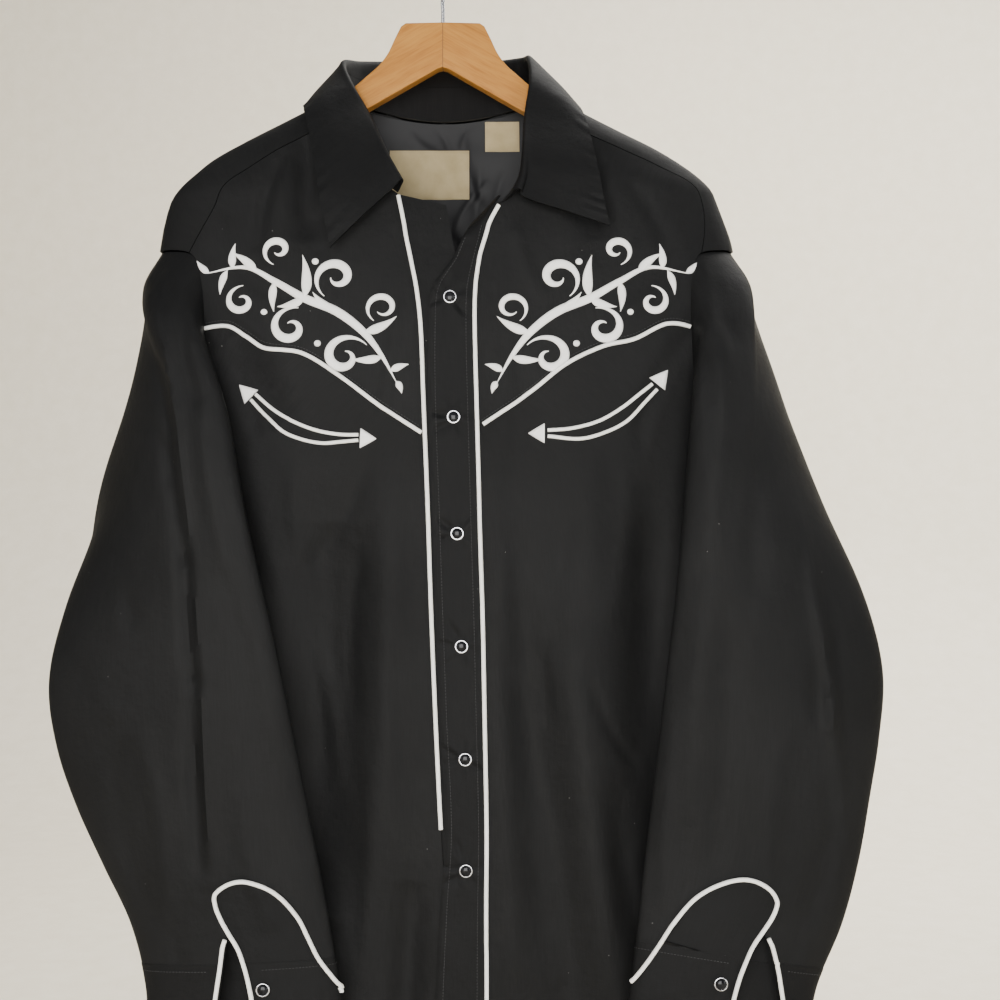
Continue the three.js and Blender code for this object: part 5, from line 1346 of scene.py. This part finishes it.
# %% Pocket lines and arrowheads
SMILE = {
    "right": {"upper": [[-151, -376], [-137, -388], [-118, -399], [-99, -406], [-81, -409],
                        [-66.5, -409.3]],
              "lower": [[-155, -380.5], [-142, -394], [-127, -407], [-112, -413], [-96, -416], [-81, -415],
                        [-66.5, -413.7]],
              "arrows": {"side": [[-165, -368], [-149.5, -372], [-160, -384]],
                         "centre": [[-52, -412.5], [-65, -404], [-65, -420]]}},
    "left": {"upper": [[171.5, -367.5], [162, -375], [147, -387], [128, -398], [106, -404], [86.5, -405.6]],
             "lower": [[176, -372], [165, -383], [150, -398.5], [131, -408], [113, -412.5], [86.5, -410.4]],
             "arrows": {"side": [[185, -356], [170, -362], [182, -373]],
                        "centre": [[71, -408], [84, -400], [84, -416]]}}}
SMILE_BEAD = 1.5


def stroke_mesh(name, line, half_widths, height, place, across=8, base=0.12):
    """A domed band of thread: line is its middle in x and z, place puts x, z and a lift on the cloth."""
    run = np.gradient(line, axis=0)
    run /= np.maximum(np.linalg.norm(run, axis=1, keepdims=True), 1e-9)
    side = np.stack([-run[:, 1], run[:, 0]], -1)
    s = np.linspace(-1, 1, across + 1)
    spread = line[:, None] + side[:, None] * (half_widths[:, None, None] * s[None, :, None])
    dome = np.minimum(height,
                      0.45 * half_widths + 0.25)[:, None] * np.sqrt(np.maximum(0, 1 - s**2))[None, :] ** 0.8
    upper, _ = place(spread[..., 0], spread[..., 1], base + 0.1 + dome)
    lower, _ = place(spread[..., 0], spread[..., 1], base + 0 * dome)
    count, wide = len(line), across + 1
    vertices = np.concatenate([upper.reshape(-1, 3), lower.reshape(-1, 3)]) / 1000
    low = count * wide
    faces = []
    for i in range(count - 1):
        for k in range(across):
            a = i * wide + k
            faces.append([a, a + 1, a + wide + 1, a + wide])
            faces.append([low + a, low + a + wide, low + a + wide + 1, low + a + 1])
        a, b = i * wide, i * wide + across
        faces.append([a, a + wide, low + a + wide, low + a])
        faces.append([b + wide, b, low + b, low + b + wide])
    for k in range(across):
        faces.append([k + 1, k, low + k, low + k + 1])
        a = (count - 1) * wide + k
        faces.append([a, a + 1, low + a + 1, low + a])
    mesh = bpy.data.meshes.new(name)
    mesh.from_pydata(vertices.tolist(), [], faces)
    length = np.concatenate([[0], np.cumsum(np.linalg.norm(np.diff(line, axis=0), axis=1))]) / 1000
    layer = mesh.uv_layers.new(name="cloth")
    corner = np.array([loop.vertex_index for loop in mesh.loops]) % low
    uv = np.stack([(s[corner % wide] * half_widths[corner // wide]) / 1000, length[corner // wide]], -1)
    layer.data.foreach_set("uv", uv.ravel())
    return outward(mesh)


def smile_line(name, line):
    route = path(SMILE[name][line])(np.linspace(0, 1, 90))
    return front(route[:, 0], route[:, 1], SMILE_BEAD - 0.1)


def arrowhead(name, which):
    tip, first, second = (np.array(corner, float) for corner in SMILE[name]["arrows"][which])
    foot = (first + second) / 2
    half = np.linalg.norm(second - first) / 2
    t = np.linspace(0, 1, 30)
    line = foot + (tip - foot) * t[:, None]
    widths = half * (1 - t) ** 0.92 + 0.12
    return stroke_mesh(f"arrowhead_{which}_{name}", line, widths, 1.7, front, across=10)


for name in SIDES:
    for line in ("upper", "lower"):
        bead(f"smile_cord_{line}_{name}", smile_line(name, line), f"smile_{line}_{name}", radius=SMILE_BEAD)
    for which in ("side", "centre"):
        piece = finish_mesh(f"arrowhead_{which}_{name}", arrowhead(name, which), STITCHED,
                            f"arrow_{which}_{name}", crisp=1.2)

# %% [markdown]
# ## Inside the neck
# The back yoke is lined with satin that has wrinkled, and two woven labels are sewn to it. They are bare.

# %% Lining and labels
LINING_LIFT = -(CLOTH + GAP + 0.7)
LABEL_LIFT = LINING_LIFT - LINING - GAP - 0.2
LABELS = {"label_main": [-47, 21.5, -161, -202.5], "label_care": [35.5, 65, -136.5, -162]}


# x0, z0, x1, z1, bow, width, height
LINING_CREASES = [[-30, -146, 18, -172, 6, 4, 1.6], [-8, -140, 6, -176, -4, 3, -1.4],
                  [18, -150, 34, -214, 5, 4, 1.9], [30, -172, 20, -240, -4, 4, -1.8],
                  [-50, -150, -34, -186, 5, 4, 1.3], [40, -186, 10, -228, 4, 3, 1.6],
                  [-36, -206, 12, -236, -6, 5, 1.6], [52, -178, 44, -226, 3, 4, -1.5],
                  [0, -212, 30, -262, 5, 5, -1.7], [-60, -170, -40, -240, 4, 5, -1.5],
                  [26, -142, 14, -162, 3, 3, 1.1], [-16, -240, 20, -296, 6, 6, 1.6]]


def lining_grid(across=132, down=128):
    x = np.linspace(-78, 78, across + 1)[None, :]
    top = YOKE_NECK.z(x) - 1.5 - 5 * (x / 78) ** 6
    v = np.linspace(0, 1, down + 1)[:, None]
    z = top + (-310 - top) * v
    edge = np.clip(np.minimum(v, 1 - v) * 14, 0, 1)
    return back(x + 0 * v, z, LINING_LIFT - 0.5 - 0.42 * edge * creases(x, z, LINING_CREASES))


def label_grid(name, across=60, down=36):
    left, right, top, bottom = LABELS[name]
    x = np.linspace(left, right, across + 1)[None, :]
    z = np.linspace(top, bottom, down + 1)[:, None]
    curl = 0.5 * np.clip((top - z) / (top - bottom), 0,
                         1) ** 2 * np.cos(math.pi * (x - left) / (right - left)) ** 2
    return back(x + 0 * z, z + 0 * x, LABEL_LIFT - curl)


cloth("satin_lining", lining_grid(), LINING, SATIN, "yoke_lining")
for name in LABELS:
    cloth(f"{name}_cloth", label_grid(name), LINING, LABEL, name)

# %% [markdown]
# ## Snaps
# A pearl snap is a pressed metal ring with prongs, crimped round a cap. Both are turned shapes: a profile
# spun about the snap's axis, which stands along the cloth's normal.

# %% Snaps
# radius and height of each turn of the profiles
RIM = [[0, 0.05], [4.6, 0.05], [5.35, 0.1], [5.62, 0.45], [5.65, 0.8], [5.58, 1.25], [5.35, 1.65],
       [5.0, 1.88], [4.75, 1.85], [4.6, 1.6], [4.55, 1.15], [0, 1.1]]
PEARL_CAP = [[0, 1.2], [4.3, 1.2], [4.42, 1.5], [4.3, 1.85], [3.9, 2.25], [3.2, 2.65], [2.2, 2.95],
             [1.2, 3.12], [0, 3.2]]


def turned(name, profile, point, normal, finish, node, segments=40):
    across = unit(np.cross(normal, [0.0, 0.0, 1.0]))
    up = np.cross(across, normal)
    angles = np.arange(segments) / segments * 2 * math.pi
    ring_points, faces, starts = [], [], []
    for radius, height in profile:
        starts.append(len(ring_points))
        if radius == 0:
            ring_points.append(point + normal * height)
            continue
        for angle in angles:
            ring_points.append(point + normal * height
                               + radius * (across * math.cos(angle) + up * math.sin(angle)))
    for k in range(len(profile) - 1):
        a, b = starts[k], starts[k + 1]
        for i in range(segments):
            j = (i + 1) % segments
            if profile[k][0] == 0:
                faces.append([a, b + i, b + j])
            elif profile[k + 1][0] == 0:
                faces.append([a + i, b, a + j])
            else:
                faces.append([a + i, b + i, b + j, a + j])
    mesh = bpy.data.meshes.new(name)
    mesh.from_pydata((np.array(ring_points) / 1000).tolist(), [], faces)
    return finish_mesh(name, outward(mesh), finish, node, crisp=0.9)


seats = {f"front_{k + 1}": front(np.float64(x), np.float64(z), LAP_LIFT + 0.3)
         for k, (x, z) in enumerate(SNAPS)}
for name, (x, z) in {"right": (-137.5, -845), "left": (221, -841)}.items():
    seats[f"cuff_{name}"] = sleeve_front(name, np.float64(x), np.float64(z), CUFF_LIFT + 0.3)
for name, (point, normal) in seats.items():
    turned(f"rim_{name}", RIM, point, normal, WIRE_FINISH, f"snap_rim_{name}")
    turned(f"pearl_{name}", PEARL_CAP, point, normal, PEARL, f"snap_pearl_{name}")
print("snaps", len(seats))

# %% [markdown]
# ## Hanger and hook
# The hanger is sawn from a beech board as two arms, mitred at the middle, with its edges rounded over. An
# outline is filled, given the board's thickness and bevelled. The hook is a wire bent round and screwed in.

# %% Hanger and hook
HANGER_TOP = [[0, -61.5], [31, -62.2], [35, -65], [40, -75], [46, -87.5], [53, -97], [63, -106],
              [75, -116.4], [88, -127.8], [113, -141.6], [150, -159.6], [182, -177.2]]
HANGER_TIP = [[190, -184.8], [196, -192.5], [197, -200.5], [193, -206.5]]
HANGER_APEX, HANGER_SLOPE, HANGER_DEPTH, WIRE, HOOK_INSIDE = -99.2, 0.553, 14, 1.7, 15


def hanger_mesh():
    upper = smooth_line(HANGER_TOP[2:] + HANGER_TIP, 6).tolist()
    half = [[31, -62.2]] + upper
    low = [[187, HANGER_APEX - 187 * HANGER_SLOPE], [120, HANGER_APEX - 120 * HANGER_SLOPE],
           [60, HANGER_APEX - 60 * HANGER_SLOPE], [9, HANGER_APEX - 3.9], [4, HANGER_APEX - 1.0]]
    right = half + low
    outline = [[0, HANGER_TOP[0][1]]] + right + [[0, HANGER_APEX]] + [[-x, z] for x, z in right[::-1]]
    work = bmesh.new()
    ring_vertices = [work.verts.new((x / 1000, -HANGER_DEPTH / 2000, z / 1000)) for x, z in outline]
    face = work.faces.new(ring_vertices)
    made = bmesh.ops.extrude_face_region(work, geom=[face])
    moved_vertices = [v for v in made["geom"] if isinstance(v, bmesh.types.BMVert)]
    bmesh.ops.translate(work, verts=moved_vertices, vec=(0, HANGER_DEPTH / 1000, 0))
    bmesh.ops.recalc_face_normals(work, faces=work.faces)
    rims = [e for e in work.edges if e.is_manifold and e.calc_face_angle(0) > 1.2]
    bmesh.ops.bevel(work, geom=rims, offset=0.0028, segments=4, profile=0.6, affect="EDGES",
                    clamp_overlap=True)
    bmesh.ops.triangulate(work, faces=[f for f in work.faces if len(f.verts) > 4])
    mesh = bpy.data.meshes.new("hanger_wood")
    work.to_mesh(mesh)
    work.free()
    return mesh


def hook_grid():
    bend = HOOK_INSIDE + WIRE
    points = [[0, 0, HANGER_TOP[0][1] + GAP], [0, 0, -50], [0, 0, -41], [5, 0, -33.5]]
    for degrees in np.arange(-40, 205.1, 24.5):
        angle = math.radians(degrees)
        points.append([bend * math.cos(angle), 0, -HOOK_INSIDE + bend * math.sin(angle)])
    line = smooth_line(points, 14)
    return line, np.zeros_like(line) + np.array([0, -1.0, 0])


wood = finish_mesh("hanger_wood", hanger_mesh(), WOOD, "hanger", crisp=0.5)
hook_line = hook_grid()
taper = np.full(len(hook_line[0]), WIRE)
taper[-1], taper[-2] = WIRE * 0.55, WIRE * 0.92
bead("hook_wire", hook_line, "hook", WIRE_FINISH, "wire", radius=taper, around=20)

# %% [markdown]
# ## Embroidery
# The yokes carry white satin-stitch scrolls. These are a common vine of my own drawing: a stem, volutes
# that curl off it in turn, drop-shaped leaves and small seeds. One side is drawn and the other is its
# mirror image, set on its own yoke's slope.

# %% A generic vine in satin stitch
def volute(cx, cz, start, turns, outer, inner, count=60):
    t = np.linspace(0, 1, count)
    radius = outer * (inner / outer) ** t
    angle = math.radians(start) + turns * 2 * math.pi * t
    return np.stack([cx + radius * np.cos(angle), cz + radius * np.sin(angle)], -1)


def along(points, count=70):
    return path(points)(np.linspace(0, 1, count))


def swelling(count, thick, thin=0.35, peak=0.4):
    t = np.linspace(0, 1, count)
    rise = np.where(t < peak, t / peak, (1 - t) / (1 - peak))
    return thin + (thick - thin) * np.sin(rise * math.pi / 2) ** 1.1


def leaf(x, z, angle, length, thick, bend=0.25, count=26):
    t = np.linspace(0, 1, count)
    a = math.radians(angle)
    lean = bend * length * t * t
    return (np.stack([x + length * t * math.cos(a) - lean * math.sin(a),
                      z + length * t * math.sin(a) + lean * math.cos(a)], -1),
            swelling(count, thick, 0.2, 0.35))


# drawn on the wearer's left yoke: x outwards from the placket, z down from the shoulder
VINE = [
    (along([[46, -366], [56, -346], [70, -326], [90, -309], [114, -298], [136, -284], [158, -272],
            [188, -276]]), 3.6), (volute(84, -346, 150, -1.15, 19, 4.5), 3.8),
    (volute(124, -322, 110, -1.15, 17, 4.2), 3.6), (volute(90, -281, -60, 1.15, 18, 4.4), 3.7),
    (volute(161, -300, 95, -1.1, 13, 3.6), 3.0), (volute(56, -306, -60, 1.05, 12.5, 5.2), 2.6),
    (volute(134, -258, -75, 1.1, 12.5, 3.4), 3.0),
]
LEAVES = [[70, -326, 172, 26, 3.8, -0.35], [90, -309, 20, 22, 3.4, 0.4], [114, -298, 104, 34, 4.2, -0.3],
          [114, -298, -38, 20, 3.4, 0.35], [136, -284, -72, 24, 3.4, -0.3], [150, -277, 62, 24, 3.6, -0.35],
          [168, -273, 78, 20, 3.2, 0.3], [172, -274, -58, 20, 3.0, -0.3], [186, -276, 30, 14, 2.8, 0.3],
          [56, -346, -22, 22, 3.4, 0.3], [50, -358, 140, 14, 3.0, 0.3], [46, -366, 225, 10, 2.8, 0.4]]
VINE_START, VINE_SPREAD, TWICE_MIDDLE = 44, 1.1, 10
SEEDS = [[106, -268, 2.6], [104, -335, 2.5], [144, -309, 2.4]]


def vine_strokes():
    strokes = [(line, swelling(len(line), thick)) for line, thick in VINE]
    strokes += [leaf(*row) for row in LEAVES]
    for x, z, radius in SEEDS:
        t = np.linspace(-0.98, 0.98, 16)
        strokes.append((np.stack([x + radius * t, z + 0 * t], -1), radius * np.sqrt(1 - t**2) + 0.05))
    return strokes


def embroidery(name):
    meshes = []
    for k, (line, widths) in enumerate(vine_strokes()):
        place = line.copy()
        place[:, 0] = VINE_START + (line[:, 0] - VINE_START) * VINE_SPREAD
        if name == "right":
            place[:, 0] = TWICE_MIDDLE - place[:, 0]
        lift = 0.05 + 0.07 * (k % 5)
        meshes.append(stroke_mesh(f"stroke {k}", place, widths, 1.2, front, base=lift))
    work = bmesh.new()
    for mesh in meshes:
        work.from_mesh(mesh)
        bpy.data.meshes.remove(mesh)
    joined = bpy.data.meshes.new(f"embroidery_{name}")
    work.to_mesh(joined)
    work.free()
    return finish_mesh(f"embroidery_{name}", joined, STITCHED, crisp=1.2)


for name in SIDES:
    embroidery(name)

# %% [markdown]
# ## Topstitching
# Seams are held by rows of small stitches. They repeat along a path, so a Geometry Nodes tree makes them:
# it turns an edge path into a curve, sets points at the stitch pitch and puts one small stitch along the
# path at each. The result is made real, because the export drops instances.

# %% The stitch tree
def stitch_tree():
    tree = bpy.data.node_groups.new("topstitch", "GeometryNodeTree")
    face = tree.interface
    face.new_socket("Geometry", in_out="INPUT", socket_type="NodeSocketGeometry")
    sizes = {}
    for label, value in (("Pitch", 0.0026), ("Stitch Length", 0.0019), ("Thread", 0.00026)):
        socket = face.new_socket(label, in_out="INPUT", socket_type="NodeSocketFloat")
        socket.default_value = value
        sizes[label] = socket.identifier
    socket = face.new_socket("Material", in_out="INPUT", socket_type="NodeSocketMaterial")
    sizes["Material"] = socket.identifier
    face.new_socket("Geometry", in_out="OUTPUT", socket_type="NodeSocketGeometry")
    make, link = tree.nodes.new, tree.links.new
    given, result = make("NodeGroupInput"), make("NodeGroupOutput")
    curve, spaced, tangent, aim = (make(kind)
                                   for kind in ("GeometryNodeMeshToCurve", "GeometryNodeResampleCurve",
                                                "GeometryNodeInputTangent",
                                                "FunctionNodeAlignRotationToVector"))
    spaced.mode = "LENGTH"
    aim.axis = "Z"
    stitch, size, instances = (make(kind) for kind in ("GeometryNodeMeshIcoSphere", "ShaderNodeCombineXYZ",
                                                       "GeometryNodeInstanceOnPoints"))
    stitch.inputs["Radius"].default_value = 1.0
    stitch.inputs["Subdivisions"].default_value = 1
    half = make("ShaderNodeMath")
    half.operation = "MULTIPLY"
    half.inputs[1].default_value = 0.5
    real, paint = make("GeometryNodeRealizeInstances"), make("GeometryNodeSetMaterial")
    link(given.outputs["Geometry"], curve.inputs["Mesh"])
    link(curve.outputs["Curve"], spaced.inputs["Curve"])
    link(given.outputs["Pitch"], spaced.inputs["Length"])
    link(spaced.outputs["Curve"], instances.inputs["Points"])
    link(stitch.outputs["Mesh"], instances.inputs["Instance"])
    link(tangent.outputs[0], aim.inputs["Vector"])
    link(aim.outputs[0], instances.inputs["Rotation"])
    link(given.outputs["Stitch Length"], half.inputs[0])
    for index, source in enumerate((given.outputs["Thread"], given.outputs["Thread"], half.outputs[0])):
        link(source, size.inputs[index])
    link(size.outputs[0], instances.inputs["Scale"])
    link(instances.outputs[0], real.inputs[0])
    link(real.outputs[0], paint.inputs["Geometry"])
    link(given.outputs["Material"], paint.inputs["Material"])
    link(paint.outputs[0], result.inputs[0])
    return tree, sizes


STITCHES, STITCH_INPUTS = stitch_tree()


def topstitch(name, routes, finish=None, slot="cloth", **sizes):
    vertices, edges = [], []
    for route in routes:
        start = len(vertices)
        vertices += (route / 1000).tolist()
        edges += [(start + i, start + i + 1) for i in range(len(route) - 1)]
    mesh = bpy.data.meshes.new(name)
    mesh.from_pydata(vertices, edges, [])
    holder = bpy.data.objects.new("holder", mesh)
    scene.collection.objects.link(holder)
    modifier = holder.modifiers.new("topstitch", "NODES")
    modifier.node_group = STITCHES
    for label, value in {"Pitch": 0.0026, "Stitch Length": 0.0019, "Thread": 0.00026,
                         "Material": finish or THREAD, **sizes}.items():
        modifier[STITCH_INPUTS[label]] = value
    evaluated = holder.evaluated_get(bpy.context.evaluated_depsgraph_get())
    made = bpy.data.meshes.new_from_object(evaluated)
    bpy.data.objects.remove(holder)
    piece = finish_mesh(name, made, finish or THREAD, crisp=3.2)
    print(name, len(made.polygons), "faces")
    return piece


print("stitch inputs", STITCH_INPUTS)

# %% Rows of stitches
STITCH_LIFT = 0.12


def lap_rows():
    rows = []
    for share, top, low in ((0.16, -250, -936), (0.86, -240, -936)):
        z = np.linspace(top, low, 300)
        rows.append(lap_point(share + 0 * z, z, STITCH_LIFT)[0])
    return rows


def front_rows(name):
    sign = SIDES[name]
    seam = yoke_seam(name, np.linspace(0.02, 0.97, 160))
    rows = [front(seam[:, 0], seam[:, 1] + 4.2, STITCH_LIFT)[0]]
    x = np.linspace(armhole_x(sign, -900, -1) - sign * 6, inner_edge(sign, -930) + sign * 4, 160)
    rows.append(front(x, hem(x) + 7, STITCH_LIFT)[0])
    return rows


def back_rows():
    x = np.linspace(-190, 196, 220)
    lower = np.linspace(-225, 262, 240)
    return [back(x, back_seam(x) + 3.5, STITCH_LIFT)[0], back(lower, hem(lower) + 7, STITCH_LIFT)[0]]


def leaf_rows():
    """A row of stitches 6 mm inside the edge of the collar's leaf, all the way round."""
    points, normals = collar_leaf
    outer = points + normals * STITCH_LIFT
    row = -6
    side = [outer[k, 3] for k in range(24, outer.shape[0] + row + 1)]
    bottom = [outer[row, k] for k in range(3, outer.shape[1] - 3)]
    other = [outer[k, -4] for k in range(outer.shape[0] + row, 23, -1)]
    return [np.array(side + bottom + other)]


def cuff_rows(name):
    rows = []
    for t in (1.06, 1.94):
        first, last = float(slit_turn(name, "lap", t)), float(slit_turn(name, "under", t)) + 1
        turn = np.linspace(first + 0.03, last - 0.03, 160)
        rows.append(on_sleeve(name, turn, t + 0 * turn, CUFF_LIFT + STITCH_LIFT)[0])
    return rows


topstitch("stitches_lap", lap_rows())
for name in SIDES:
    topstitch(f"stitches_front_{name}", front_rows(name))
    topstitch(f"stitches_cuff_{name}", cuff_rows(name))
topstitch("stitches_back", back_rows())
topstitch("stitches_collar", leaf_rows())


def label_row(name):
    left, right, top, bottom = LABELS[name]
    corners = [[left + 1.5, top - 1.5], [right - 1.5, top - 1.5], [right - 1.5, bottom + 1.5],
               [left + 1.5, bottom + 1.5]]
    x = np.concatenate([np.linspace(corners[i][0], corners[(i + 1) % 4][0], 40) for i in range(4)])
    z = np.concatenate([np.linspace(corners[i][1], corners[(i + 1) % 4][1], 40) for i in range(4)])
    return back(x, z, LABEL_LIFT - LINING - 0.55 - STITCH_LIFT)[0]


topstitch("stitches_labels", [label_row("label_care"), label_row("label_main")], LABEL, "label",
          Thread=0.00022)

# %% [markdown]
# ## Stage and light
# A pale floor sweeps up far behind into a pale wall, so nothing stands close to the shirt. Large soft
# lights from the front leave the gentle, low shadows of a room with a window.

# %% Stage
FLOOR, CURVE_START, CURVE = -1.12, 1.6, 1.4


def sweep_stage():
    profile = [(-4.0, FLOOR), (CURVE_START, FLOOR)]
    profile += [(CURVE_START + CURVE * math.sin(a), FLOOR + CURVE - CURVE * math.cos(a))
                for a in np.linspace(0.1, math.pi / 2, 16)]
    profile += [(CURVE_START + CURVE, 4.0)]
    mesh = bpy.data.meshes.new("pale_stage")
    vertices = [(x, y, z) for y, z in profile for x in (-6.0, 6.0)]
    faces = [[2 * i, 2 * i + 1, 2 * i + 3, 2 * i + 2] for i in range(len(profile) - 1)]
    mesh.from_pydata(vertices, [], faces)
    mesh.shade_smooth()
    mesh.materials.append(PLASTER)
    stage = bpy.data.objects.new("pale_stage", mesh)
    scene.collection.objects.link(stage)


def area_light(name, place, aim, size, power, colour=(1, 1, 1)):
    data = bpy.data.lights.new(name, "AREA")
    data.shape = "RECTANGLE"
    data.size, data.size_y = size
    data.energy = power
    data.color = colour
    light = bpy.data.objects.new(name, data)
    light.location = place
    direction = np.array(aim) - np.array(place)
    flat = math.hypot(direction[0], direction[1])
    light.rotation_euler = (math.atan2(flat, -direction[2]), 0,
                            math.atan2(direction[1], direction[0]) - math.pi / 2)
    light.visible_camera = False
    scene.collection.objects.link(light)


sweep_stage()
# name, place, what it points at, size, power, colour
LIGHTS = [
    ("softbox", (-0.15, -2.6, -0.45), (-0.05, 0, -0.45), (1.7, 1.7), 122, (1.0, 0.99, 0.975)),
    ("window", (-2.1, -1.6, 0.1), (0, 0, -0.5), (1.0, 1.4), 20, (1.0, 0.99, 0.975)),
    ("room", (2.2, -1.7, -0.3), (0.1, 0, -0.5), (1.1, 1.4), 26, (0.97, 0.985, 1.0)),
    ("overhead", (0.1, 0.2, 1.9), (0, 0.1, -0.5), (2.0, 2.0), 5),
    ("behind", (0.5, 2.3, 0.6), (0, 0, -0.5), (1.8, 1.8), 16),
    ("wall wash", (1.3, 0.9, 1.0), (0.8, 3.0, -1.5), (3.0, 1.4), 120, (1, 0.98, 0.94)),
]
for row in LIGHTS:
    area_light(*row)
world = bpy.data.worlds.new("soft room")
world.use_nodes = True
world.node_tree.nodes["Background"].inputs[0].default_value = (0.91, 0.92, 0.93, 1)
world.node_tree.nodes["Background"].inputs[1].default_value = 0.24
scene.world = world
